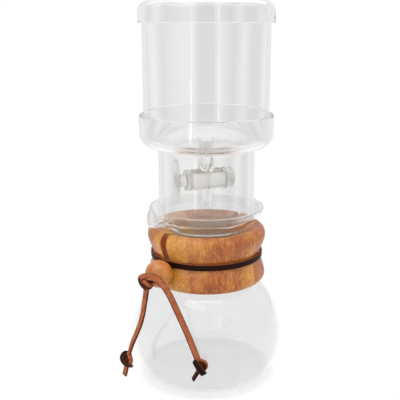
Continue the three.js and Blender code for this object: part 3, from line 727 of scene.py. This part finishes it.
def carafeLine(form, inset):
    # arcs and straights that meet in tangents, from the middle of the base out and up: flat base, heel, bulb,
    # shoulder, neck, flare, cone and bowl, each moved inwards by the inset
    bulb, heel = form["bulbRadius"], form["heelRadius"]
    heelX = sqrt((bulb - heel) ** 2 - (form["bulbHeight"] - heel) ** 2)
    heelJoin = degrees(atan2(heel - form["bulbHeight"], heelX))
    shoulderX = form["neckRadius"] + form["shoulderFillet"]
    shoulderRise = sqrt((bulb + form["shoulderFillet"]) ** 2 - shoulderX**2)
    shoulderJoin = degrees(atan2(shoulderRise, shoulderX))
    tilt, flare = radians(form["funnelTilt"]), form["funnelFlare"]
    bowlX = form["rimRadius"] - form["bowlRadius"] * cos(radians(form["rimTilt"]))
    bowlZ = form["rimHeight"] + form["bowlRadius"] * sin(radians(form["rimTilt"]))
    coneX, coneZ = bowlX + form["bowlRadius"] * cos(tilt), bowlZ - form["bowlRadius"] * sin(tilt)
    coneLength = (coneX - form["neckRadius"] - flare * (1 - cos(tilt))) / sin(tilt)
    flareZ = coneZ - coneLength * cos(tilt) - flare * sin(tilt)
    shoulder = (shoulderX, form["bulbHeight"] + shoulderRise)
    neck = arc(shoulder, form["shoulderFillet"] + inset, 180 + shoulderJoin, 180, 10)
    flareArc = arc((form["neckRadius"] + flare, flareZ), flare + inset, 180, 180 - form["funnelTilt"], 8)
    bowl = arc((bowlX, bowlZ), form["bowlRadius"] - inset, -form["funnelTilt"], -form["rimTilt"], 14)
    cone = flareArc[-1] + (bowl[0] - flareArc[-1]) * np.linspace(0, 1, 12)[1:-1, None]
    straight = neck[-1] + (flareArc[0] - neck[-1]) * np.linspace(0, 1, 6)[1:-1, None]
    return np.vstack([
        [0, inset],
        arc((heelX, heel), heel - inset, -90, heelJoin, 10),
        arc((0, form["bulbHeight"]), bulb - inset, heelJoin, shoulderJoin, 40)[1:],
        neck[1:], straight, flareArc, cone, bowl,
    ])


def pulledSpout(verts, form):
    # near the front the wall moves out by reach times pull and down by drop times pull times rise
    x, y, z = verts.T
    radius = np.hypot(x, y)
    rise = np.clip((z - form["spoutRoot"]) / (form["rimHeight"] - form["spoutRoot"]), 0, 1)
    rise = rise * rise * (3 - 2 * rise)
    aside = np.abs(np.arctan2(x, -y)) / radians(form["spoutHalfAngle"])
    sharp = form["tipSharpness"]
    blunt = (np.hypot(aside, sharp) - sharp) / (np.hypot(1, sharp) - sharp)
    fade = np.clip(1 - blunt, 0, 1)
    pull = rise * fade * (0.75 + 0.25 * fade)
    out = np.where(radius > 1, (radius + form["spoutReach"] * pull) / np.maximum(radius, 1), 1)
    return np.column_stack([x * out, y * out, z - form["spoutDrop"] * pull * rise])


def makeCarafe(form):
    # the line turned round Z, with the spout then pulled out of its front
    verts, faces = revolve(wallBetween(carafeLine(form, 0), carafeLine(form, wall)), form["sides"])
    meshPiece("blownCarafe", pulledSpout(verts, form), faces, "carafe", carafeGlass, "carafe", 0)


chamberForm = {
    "radius": 39.5, "fillet": 6, "floor": 196.08, "foot": 140.53, "cupRadius": 54.4, "cupWall": 2.4,
    "cupHeight": 25.5, "cupCorner": 11.62, "mouthFillet": 2.98, "lowerRadius": 28, "lowerFloor": 96.63,
    "lowerCorner": 7, "flareHeight": 126.18, "stemRadius": 8, "stemLength": 9, "stemFillet": 3, "sides": 200,
}


def chamberLine(form, inset, cupInset):
    # from the outlet stem up: fillet, lower corner, flare, shoulder, fillet under the cup, cup corner, rim;
    # the tube moves inwards by the inset and the cup by its own
    tilt = carafeForm["funnelTilt"]
    flare = carafeForm["funnelFlare"]
    rim = form["floor"] + form["cupHeight"]
    fillet, corner, stem = form["mouthFillet"], form["cupCorner"], form["stemFillet"]
    mouth = arc((form["radius"] + fillet, form["floor"] - fillet), fillet + inset, 180, 90, 8)
    mouth[:, 1] += cupInset - inset
    lower = form["lowerFloor"] + form["lowerCorner"]
    return np.vstack([
        [form["stemRadius"] - inset, form["lowerFloor"] - stem - form["stemLength"]],
        arc((form["stemRadius"] + stem, form["lowerFloor"] - stem), stem + inset, 180, 90, 6),
        arc((form["lowerRadius"] - form["lowerCorner"], lower), form["lowerCorner"] - inset, -90, 0, 8),
        arc((form["lowerRadius"] + flare, form["flareHeight"]), flare + inset, 180, 180 - tilt, 8),
        arc((form["radius"] - form["fillet"], form["foot"]), form["fillet"] - inset, -tilt, 0, 8),
        mouth,
        arc((form["cupRadius"] - corner, form["floor"] + corner), corner - cupInset, -90, 0, 14),
        [form["cupRadius"] - cupInset, rim],
    ])


def makeChamber(form):
    profile = wallBetween(chamberLine(form, 0, 0), chamberLine(form, wall, form["cupWall"]))
    verts, faces = revolve(profile, form["sides"])
    meshPiece("coffeeChamber", verts, faces, "coffee_chamber", glass, "coffee_chamber", 60)


makeCarafe(carafeForm)
makeChamber(chamberForm)

tankForm = {
    "radius": 50.8, "floor": 198.78, "height": 106.3, "corner": 9.53, "outletRadius": 6.5, "outletBore": 4.2,
    "outletFillet": 4, "outletStraight": 8, "valveHeight": 168.98, "barrelRadius": 8.9, "barrelHalf": 14,
    "tipTop": 5.4, "tipEnd": 3.4, "tipLength": 16, "waterway": 1.6, "sides": 200, "valveYaw": -14,
}
plugForm = {
    "bigRadius": 5.7, "smallRadius": 4.8, "clearance": 0.2, "studRadius": 3, "studEdge": 0.4,
    "shoulderRadius": 8.4, "shoulderLength": 4.5, "shoulderEdge": 0.3, "shoulderRounding": 0.8,
    "neckRadius": 5, "neckLength": 5.6, "neckFillet": 0.5,
    "keyThickness": 3.4, "keyHeight": 36, "keyWidth": 15,
    "washerRadius": 9.2, "washerThickness": 1, "washerEdge": 0.25, "ringWire": 0.9, "nutRadius": 8.9,
    "nutThickness": 5.2, "nutFlutes": 10, "nutFlute": 0.6, "nutEdge": 0.3, "nutRounding": 2.4, "gap": 0.3,
}


def toValve(verts):
    # a shape made round Z is laid along the stopcock's axis, its top towards the key
    x, y, z = np.asarray(verts, float).T
    yaw = radians(tankForm["valveYaw"])
    along = np.array([sin(yaw), -cos(yaw), 0])
    side = np.array([cos(yaw), sin(yaw), 0])
    placed = np.outer(z, along) + np.outer(x, side) + np.outer(-y, [0, 0, 1])
    return placed + np.array([0, 0, tankForm["valveHeight"]])


def plugRadiusAt(x):
    # the taper: from the small radius at the barrel's thin end to the big one at its thick end
    half, small = tankForm["barrelHalf"], plugForm["smallRadius"]
    return small + (plugForm["bigRadius"] - small) * (x + half) / (2 * half)


def makeTank(form):
    # the chamber's wall on a solid outlet; the cross barrel is added, then the waterway and the taper are cut
    floor, top, valve = form["floor"], form["floor"] + form["height"], form["valveHeight"]
    corner = (form["radius"] - form["corner"], floor + form["corner"])
    outlet, fillet, barrelRadius = form["outletRadius"], form["outletFillet"], form["barrelRadius"]
    tipEnd = valve - barrelRadius - form["tipLength"]
    outer = np.vstack([
        [0, tipEnd], [form["tipEnd"], tipEnd],
        [form["tipTop"], valve - barrelRadius + form["tipTop"] / 2],
        [outlet, valve], [outlet, floor - fillet - form["outletStraight"]],
        arc((outlet + fillet, floor - fillet), fillet, 180, 90, 8),
        arc(corner, form["corner"], -90, 0, 14), [form["radius"], top],
    ])
    inner = np.vstack([
        [0, floor + wall], arc(corner, form["corner"] - wall, -90, 0, 14), [form["radius"] - wall, top],
    ])
    verts, faces = revolve(wallBetween(outer, inner), form["sides"])
    tank = looseObject("waterChamber", verts * mm, faces)

    half, lip = form["barrelHalf"], wall / 2
    barrel = np.vstack([
        [0, -half], arc((barrelRadius - lip, -half + lip), lip, -90, 0, 5),
        arc((barrelRadius - lip, half - lip), lip, 0, 90, 5), [0, half],
    ])
    verts, faces = revolve(barrel, 96)
    barrelTool = looseObject("barrelTool", toValve(verts) * mm, faces)

    boreTop = valve + plugForm["bigRadius"] + wall
    waterway, bore = form["waterway"], form["outletBore"]
    boreLine = [
        [0, tipEnd - overrun], [waterway, tipEnd - overrun], [waterway, boreTop], [bore, boreTop + bore],
        [bore, floor], [bore + wall, floor + wall], [bore + wall + overrun, floor + wall + overrun],
        [0, floor + wall + overrun],
    ]
    verts, faces = revolve(boreLine, 64)
    boreTool = looseObject("boreTool", verts * mm, faces)

    reach, slack = half + overrun, plugForm["clearance"]
    thin, thick = plugRadiusAt(-reach) + slack, plugRadiusAt(reach) + slack
    verts, faces = revolve([[0, -reach], [thin, -reach], [thick, reach], [0, reach]], 80)
    holeTool = looseObject("holeTool", toValve(verts) * mm, faces)

    carved(tank, [("UNION", barrelTool), ("DIFFERENCE", boreTool), ("DIFFERENCE", holeTool)])
    finishPiece(tank, "water_chamber", glass, "water_chamber", 50)


lidForm = {"radius": 54.1, "skirt": 16, "shoulder": 8, "sides": 200}


def makeLid(form):
    # a flat top, a round shoulder and a straight skirt; the shoulder's inside rests on the tank's rim
    lip = wall / 2
    innerShoulder = form["shoulder"] - wall
    side = form["radius"] - form["shoulder"]
    rim = tankForm["floor"] + tankForm["height"]
    rise = sqrt((innerShoulder - plugForm["gap"] - lip) ** 2 - (tankForm["radius"] - lip - side) ** 2)
    centre = (side, rim - rise)
    top = centre[1] + form["shoulder"]
    foot = top - form["skirt"]
    outer = np.vstack([[form["radius"], foot], arc(centre, form["shoulder"], 0, 90, 14), [0, top]])
    inner = np.vstack([
        [0, top - wall], arc(centre, innerShoulder, 90, 0, 14), [form["radius"] - wall, foot],
    ])
    profile = np.vstack([inner, lipBetween(inner[-1], outer[0]), outer])
    verts, faces = revolve(profile, form["sides"])
    meshPiece("glassLid", verts, faces, "lid", lidGlass, "lid", 0)


makeTank(tankForm)
makeLid(lidForm)
print("glass blown")


def trimPiece(name, verts, faces, material, replaced):
    # a part of the stopcock, made round Z and laid along the barrel
    outward(meshPiece(name, toValve(verts), faces, "stopcock", material, replaced, 40))


def keyShape(form, middle):
    # a squashed disc: thickness times cos u to the power 0.6 over an oval of width and height times sin u
    # to the power 0.22, with a shallow dish in its faces
    rows, columns = 40, 96
    u = np.linspace(0.002, 0.998, rows)[:, None] * pi
    a = np.arange(columns)[None, :] * 2 * pi / columns
    reach = np.sin(u) ** 0.22
    depth = -np.sign(np.cos(u)) * np.abs(np.cos(u)) ** 0.6 * form["keyThickness"] / 2
    across = form["keyWidth"] / 2 * reach * np.cos(a)
    tall = form["keyHeight"] / 2 * reach * np.sin(a)
    off = np.hypot(across / form["keyWidth"], tall / form["keyHeight"])
    dish = 1 - 0.18 * np.exp(-((off / 0.33) ** 2))
    verts = np.stack([across, tall, middle + depth * dish + 0 * across], -1).reshape(-1, 3)
    return verts, cappedFaces(rows, columns)


def roundedRing(hole, radius, low, high, lowEdge, highEdge, steps):
    # a ring's section whose two outer corners are rounded, each by its own radius
    return np.vstack([
        [hole, low], arc((radius - lowEdge, low + lowEdge), lowEdge, -90, 0, steps),
        arc((radius - highEdge, high - highEdge), highEdge, 0, 90, 3), [hole, high],
    ])


def makeStopcock(form):
    # along the barrel's axis: key, neck, shoulder, tapered plug, stud; on the stud washer, seal ring, nut
    half, gap, wire, thick = tankForm["barrelHalf"], form["gap"], form["ringWire"], form["washerThickness"]
    washer = -half - gap
    sealRing = washer - thick - gap
    nut = sealRing - 2 * wire - gap
    nutEnd = nut - form["nutThickness"]
    shoulder = half + gap
    neck = shoulder + form["shoulderLength"]
    keyMiddle = neck + form["neckLength"] + form["keyThickness"] / 2
    stud, shoulderRadius, neckRadius = form["studRadius"], form["shoulderRadius"], form["neckRadius"]
    tip, fillet = form["studEdge"], form["neckFillet"]
    edge, soft = form["shoulderEdge"], form["shoulderRounding"]
    profile = np.vstack([
        [0, nutEnd], arc((stud - tip, nutEnd + tip), tip, -90, 0, 4), [stud, -half],
        [plugRadiusAt(-half), -half], [plugRadiusAt(half), half], [plugRadiusAt(half), shoulder],
        arc((shoulderRadius - edge, shoulder + edge), edge, -90, 0, 3),
        arc((shoulderRadius - soft, neck - soft), soft, 0, 90, 6),
        arc((neckRadius + fillet, neck + fillet), fillet, 270, 180, 4),
        [neckRadius, keyMiddle], [0, keyMiddle],
    ])
    verts, faces = joined(revolve(profile, 64), keyShape(form, keyMiddle))
    trimPiece("stopcockPlug", verts, faces, ptfe, "valve_plug")

    hole, edge = stud + gap, form["washerEdge"]
    verts, faces = revolve(roundedRing(hole, form["washerRadius"], washer - thick, washer, edge, edge, 3), 64)
    trimPiece("stopcockWasher", verts, faces, ptfe, "plug_washer")

    verts, faces = revolve(arc((hole + wire, sealRing - wire), wire, 0, 360, 16)[:-1], 64)
    trimPiece("stopcockSealRing", verts, faces, silicone, "plug_seal_ring")

    # the nut's outside is drawn in by a cosine of the angle, the flutes
    radius = form["nutRadius"]
    outline = roundedRing(hole, radius, nutEnd, nut, form["nutRounding"], form["nutEdge"], 8)
    verts, faces = revolve(outline, 180)
    a = np.arctan2(verts[:, 1], verts[:, 0])
    flute = 1 - form["nutFlute"] / radius * (0.5 - 0.5 * np.cos(a * form["nutFlutes"]))
    flute = np.where(np.hypot(verts[:, 0], verts[:, 1]) > hole + 1, flute, 1)
    verts[:, :2] *= flute[:, None]
    trimPiece("stopcockNut", verts, faces, ptfe, "plug_nut")


filterForm = {
    "outer": 25.5, "width": 4, "thickness": 4, "floor": 103.93, "discRadius": 23.9, "slotHalf": 0.7,
    "gap": 0.3, "edge": 0.4, "step": 0.7, "bead": 0.9,
}


def makeGasket(form):
    # a ring with a slot for the disc on its inside and a round bead on its outside
    outer, low, edge, step, bead = (form[key] for key in ("outer", "floor", "edge", "step", "bead"))
    inner = outer - form["width"]
    high, middle = low + form["thickness"], low + form["thickness"] / 2
    slot = form["discRadius"] + form["gap"]
    slotLow, slotHigh = middle - form["slotHalf"], middle + form["slotHalf"]
    profile = np.vstack([
        [inner + edge, low], [outer - step, low], arc((outer - bead, middle), bead, -60, 60, 8),
        [outer - step, high], [inner + edge, high], [inner, high - edge], [inner, slotHigh], [slot, slotHigh],
        [slot, slotLow], [inner, slotLow], [inner, low + edge],
    ])
    verts, faces = revolve(profile, 128)
    meshPiece("filterRing", verts, faces, "filter", silicone, "filter_gasket", 30)


makeStopcock(plugForm)
makeGasket(filterForm)
nodes["filter_disc"].data.materials.clear()
nodes["filter_disc"].data.materials.append(steel)
print("stopcock and filter made")


collarForm = {
    "yaw": 10, "slit": 6.5, "top": 130.58, "foot": 83.99, "dish": 3.4, "clearance": 0.35,
    "columns": 120, "rows": 90, "edge": 1.4, "slitEdge": 0.7, "slitSteps": 7, "slitEase": 0.6,
    # how dark the first rows of points at a slit are, and how much paler the shaded inside is painted, as
    # painted light
    "sawn": [1, 0.8, 0.4],
    "bare": 0.95,
    "outside": [
        (44.8, 83.99), (48.2, 86.9), (49.1, 90.8), (47, 98.6), (44.2, 107), (46.9, 114.6), (49.1, 121.6),
        (48.5, 126.6), (45, 130.58),
    ],
}


def splineThrough(points, count):
    # a Catmull-Rom curve through the points, at even steps from point to point
    p = np.asarray(points, float)
    last = len(p) - 1
    at = np.linspace(0, last, count)
    k = np.minimum(at.astype(int), last - 1)
    ends = p[np.maximum(k - 1, 0)], p[k], p[k + 1], p[np.minimum(k + 2, last)]
    return catmullRom(*ends, (at - k)[:, None])


def collarSection(form):
    # the outer line to the top, the inner line only to the dish's foot, both with their ends rounded off
    outside = splineThrough(form["outside"], 160)
    inside = carafeLine(carafeForm, -form["clearance"])
    inside = inside[np.argmax((inside[:, 1] > form["foot"] - 5) & (inside[:, 0] > 1)):]
    steps = 0.5 - 0.5 * np.cos(np.linspace(0, pi, form["rows"]))
    lines = []
    for source, top, amount in ((outside, form["top"], 1.0), (inside, form["top"] - form["dish"], -0.5)):
        z = form["foot"] + (top - form["foot"]) * steps
        near = np.maximum(form["edge"] - np.minimum(z - form["foot"], top - z), 0)
        trim = form["edge"] - np.sqrt(np.maximum(form["edge"] ** 2 - near**2, 0))
        lines.append(np.column_stack([np.interp(z, source[:, 1], source[:, 0]) - amount * trim, z]))
    return lines


def makeCollar(name, side, form, replaced):
    # rows run from one slit to the other and columns round the section: up the outside and down the inside;
    # the rows nearest a slit draw in towards the section's middle, so that the slit's edges are round
    outer, inner = collarSection(form)
    ring = np.vstack([outer, inner[::-1]])
    middle = (outer[:, 0] + inner[:, 0]) / 2
    middle = np.concatenate([middle, middle[::-1]])[:, None]
    edge, steps, count = form["slitEdge"], form["slitSteps"], form["columns"]
    turn = np.radians(np.linspace(0, 90, steps))
    ease, away = edge * (1 - np.sin(turn)), edge * (1 - np.cos(turn))
    inwards = np.concatenate([ease, np.zeros(count), ease[::-1]])[None, :]
    radius, height = ring[:, 0:1], ring[:, 1:2]
    radius = radius - np.sign(radius - middle) * inwards
    rise = height - (form["top"] + form["foot"]) / 2
    height = height - np.sign(rise) * np.minimum(np.abs(rise), inwards * form["slitEase"])
    start = np.arcsin(form["slit"] / 2 / radius)
    span = np.concatenate([np.zeros(steps), np.linspace(0, 1, count), np.ones(steps)])
    shift = np.concatenate([away, np.full(count, edge), away[::-1]])
    narrow = np.concatenate([np.ones(steps), np.linspace(1, -1, count), -np.ones(steps)])
    angle = start + (pi - 2 * start) * span + shift / radius * narrow
    x, y = side * radius * np.sin(angle), -radius * np.cos(angle)
    c, s = cos(radians(form["yaw"])), sin(radians(form["yaw"]))
    verts = np.stack([x * c - y * s, x * s + y * c, height], -1).transpose(1, 0, 2)
    rows, columns = verts.shape[:2]
    faces = cappedFaces(rows, columns)
    piece = meshPiece(name, verts.reshape(-1, 3), faces, "carafe", collarWood, replaced, 40)
    outward(piece)
    # the sawn faces at the slits are darker
    sawn = np.zeros(rows)
    sawn[:3], sawn[-3:] = form["sawn"], form["sawn"][::-1]
    withValue(piece, "shade", np.repeat(sawn, columns))
    # the inside lies in shade; it is painted paler, as painted light
    bare = np.clip((np.arange(columns) - form["rows"]) / 12, 0, form["bare"])
    withValue(piece, "bare", np.tile(bare, rows))


makeCollar("collarHalfRight", 1, collarForm, "collar_half_right")
makeCollar("collarHalfLeft", -1, collarForm, "collar_half_left")

bandForm = {
    "inner": 45.02, "height": 107, "sides": 200, "soft": 0.12, "strandApart": 0.92, "strandEnd": 1.9,
}
beadForm = {"yaw": 14, "tilt": 11, "radius": 11, "hole": 3.5, "standOff": 8.3, "drop": 5.6, "bulge": 49.1}


def beadFrame(form):
    # the bead's centre, and the directions along its hole, aside and up from it
    yaw, tilt = radians(form["yaw"]), radians(form["tilt"])
    reach = form["bulge"] + form["standOff"]
    centre = np.array([reach * sin(yaw), -reach * cos(yaw), bandForm["height"] - form["drop"]])
    along = np.array([cos(tilt) * sin(yaw), -cos(tilt) * cos(yaw), -sin(tilt)])
    side = np.array([cos(yaw), sin(yaw), 0])
    return centre, along, side, np.cross(along, side)


def makeBand(form):
    # the lace's section goes round the waist, grain face out, its top edge a thin reddish-brown line;
    # two strands leave it for the bead and go through it
    width, thickness = laceStrap["width"], laceStrap["thickness"]
    outline, _ = strapSection(thickness, width, form["soft"])
    verts, faces = revolve(outline + [form["inner"] + thickness / 2, form["height"]], form["sides"])
    top = np.clip((verts[:, 2] - form["height"] - width * 0.36) / (width * 0.1), 0, 1)
    centre, along, _, up = beadFrame(beadForm)
    reach = beadForm["bulge"] + beadForm["standOff"] - form["inner"] - thickness / 2
    start, end = -reach / cos(radians(beadForm["tilt"])), beadForm["radius"] + form["strandEnd"]
    shapes = [(verts, faces, 1 - 0.75 * top)]
    for offset in (-form["strandApart"], form["strandApart"]):
        shapes.append(strapAlong(centre + np.outer(np.linspace(start, end, 24), along) + offset * up))
    leatherPiece("laceBand", assembled(shapes), "collar_tie")


def makeBead(form):
    # a ball with a straight hole, made round Z and laid along the bead's own frame
    half = sqrt(form["radius"] ** 2 - form["hole"] ** 2)
    reach = degrees(atan2(half, form["hole"]))
    skin = arc((0, 0), form["radius"], -reach, reach, 44)
    inside = np.linspace([form["hole"], skin[-1][1]], [form["hole"], skin[0][1]], 12)[1:-1]
    verts, faces = revolve(np.vstack([skin, inside]), 96)
    x, y, z = verts.T
    centre, along, side, up = beadFrame(form)
    verts = centre + np.outer(z, along) + np.outer(x, side) + np.outer(y, up)
    outward(meshPiece("laceBead", verts, faces, "carafe", beadWood, "tie_bead", 40))


def makeMainKnot(values):
    # it sits past the bead on the line of the hole, moved a little by the shift
    centre, along, _, _ = beadFrame(beadForm)
    centre = centre + along * (beadForm["radius"] + values["standOff"]) + values["shift"]
    leatherPiece("laceKnot", knotShape(values, centre), "tie_knot")


makeBand(bandForm)
makeBead(beadForm)
makeMainKnot(mainKnot)
print("collar, band, bead and knot made")


floorForm = {
    "radius": 6.0, "drop": 0.0004, "color": (0.88, 0.88, 0.88), "shadowReach": 0.07,
    # share of that reach and of white: less white near the object paints a soft shadow, darkest in a ring,
    # that ends just in front of the bulb; the lamps' real shadow shows in the rest
    "fade": [(0, 0.79), (0.6, 0.78), (0.68, 0.69), (0.78, 0.69), (0.86, 1)],
}


def makeFloor(form):
    # a disc: white where it is looked at, but for a partly painted soft shadow near the object, and plainly
    # lit where light bounces off it
    count = 96
    a = np.arange(count) * 2 * pi / count
    radius = form["radius"]
    verts = np.column_stack([radius * np.cos(a), radius * np.sin(a), np.full(count, -form["drop"])])
    floor = looseObject("studioFloor", verts, [list(range(count))])
    look = Shader("paleFloor")
    look.surface({"Base Color": (*form["color"], 1), "Roughness": 0.6, "Specular IOR Level": 0.1})
    distance = look.node("ShaderNodeVectorMath", {0: look.position()}, operation="LENGTH").outputs["Value"]
    # painted shadow: the ramp lowers the white glow near the object
    fade = look.ramp(look.math("DIVIDE", distance, form["shadowReach"]), form["fade"])
    share = look.math("MULTIPLY", look.seenRays(), fade)
    look.showMixed(share, look.body.outputs[0], look.glow((1, 1, 1, 1)))
    floor.data.materials.append(look.material)


def hiddenStage(item, look, shader):
    # a glowing stage piece that only the glass mirrors or shows through itself
    look.show(shader)
    item.data.materials.append(look.material)
    item.visible_camera = False
    item.visible_diffuse = False
    item.visible_shadow = False


curtainForm = {
    "radius": 0.4, "foot": 0.0, "height": 0.5, "turn": 217.0, "period": 36.0,
    # place in one period and brightness
    "paintedFoldBands": [
        (0.0, 0.92), (0.1, 0.76), (0.19, 0.76), (0.26, 0.92), (0.33, 0.74), (0.42, 0.92), (0.46, 0.77),
        (0.55, 0.77), (0.58, 0.92), (0.68, 0.9), (0.8, 0.79), (0.9, 0.96), (1.0, 0.92),
    ],
}


def makeCurtain(form):
    # a round glowing curtain, a smooth cylinder with painted upright bands of shade that stand for soft
    # folds: brightness follows the angle round Z, again each period
    count, radius, foot = 180, form["radius"], form["foot"]
    verts, _ = revolve([(radius, foot), (radius, foot + form["height"])], count)
    curtain = looseObject("studioCurtain", verts, gridFaces(2, count))
    look = Shader("paleCurtain")
    place = look.node("ShaderNodeSeparateXYZ", {"Vector": look.position()}).outputs
    angle = look.math("ARCTAN2", place["X"], look.math("MULTIPLY", place["Y"], -1.0))
    # whole periods are added, so that the share of a period is never taken of a negative number
    start = 40 - form["turn"] / form["period"]
    turns = look.math("MULTIPLY_ADD", angle, degrees(1) / form["period"], start)
    grey = look.ramp(look.math("FRACT", turns), form["paintedFoldBands"])
    hiddenStage(curtain, look, look.glow(grey))


stripForm = {
    "azimuth": 29.4, "distance": 0.36, "middle": 0.14, "width": 0.02, "height": 0.22, "strength": 3.0,
}


def makeStrip(form):
    # an upright card, square to its own direction, that leaves a line of light on the glass
    a = radians(form["azimuth"])
    middle = np.array([sin(a) * form["distance"], -cos(a) * form["distance"], form["middle"]])
    aside = np.array([cos(a), sin(a), 0]) * form["width"] / 2
    up = np.array([0, 0, form["height"] / 2])
    corners = [middle - aside - up, middle + aside - up, middle + aside + up, middle - aside + up]
    strip = looseObject("stripCard", corners, [[0, 1, 2, 3]])
    look = Shader("stripCardGlow")
    hiddenStage(strip, look, look.glow((1, 1, 1, 1), form["strength"]))


def makeWorld(light):
    # even light for the object, and white where the camera, gloss or glass looks at the world
    world = bpy.data.worlds.new("studioWorld")
    bpy.context.scene.world = world
    look = NodeTree(world)
    look.put(look.mix(look.seenRays(), light, (1, 1, 1)), look.tree.nodes["Background"].inputs["Color"])


studio = {
    "worldLight": (0.41, 0.405, 0.4),
    "aimHeight": 0.15,
    # name, azimuth, elevation, distance, side of the square and power
    "lamps": [
        ("keyLight", 15, 34, 1.4, 1.3, 7.0),
        ("fillLight", 120, 25, 1.5, 1.2, 3.2),
        ("backLight", 215, 45, 1.4, 1.2, 3.8),
        ("topLight", 55, 85, 1.3, 1.2, 7.2),
    ],
}


def makeLights(values):
    # square lamps that don't show through the glass
    for name, azimuth, elevation, distance, size, power in values["lamps"]:
        data = bpy.data.lights.new(name, "AREA")
        data.shape = "SQUARE"
        data.size = size
        data.energy = power
        lamp = placeFacing(name, data, values["aimHeight"], azimuth, elevation, distance)
        lamp.visible_transmission = False


makeFloor(floorForm)
makeCurtain(curtainForm)
makeStrip(stripForm)
makeWorld(studio["worldLight"])
makeLights(studio)
bpy.context.scene.view_settings.view_transform = "Standard"
lightPaths = bpy.context.scene.cycles
lightPaths.max_bounces = 200
lightPaths.transmission_bounces = 200
lightPaths.glossy_bounces = 200
lightPaths.transparent_max_bounces = 64
print("studio set")
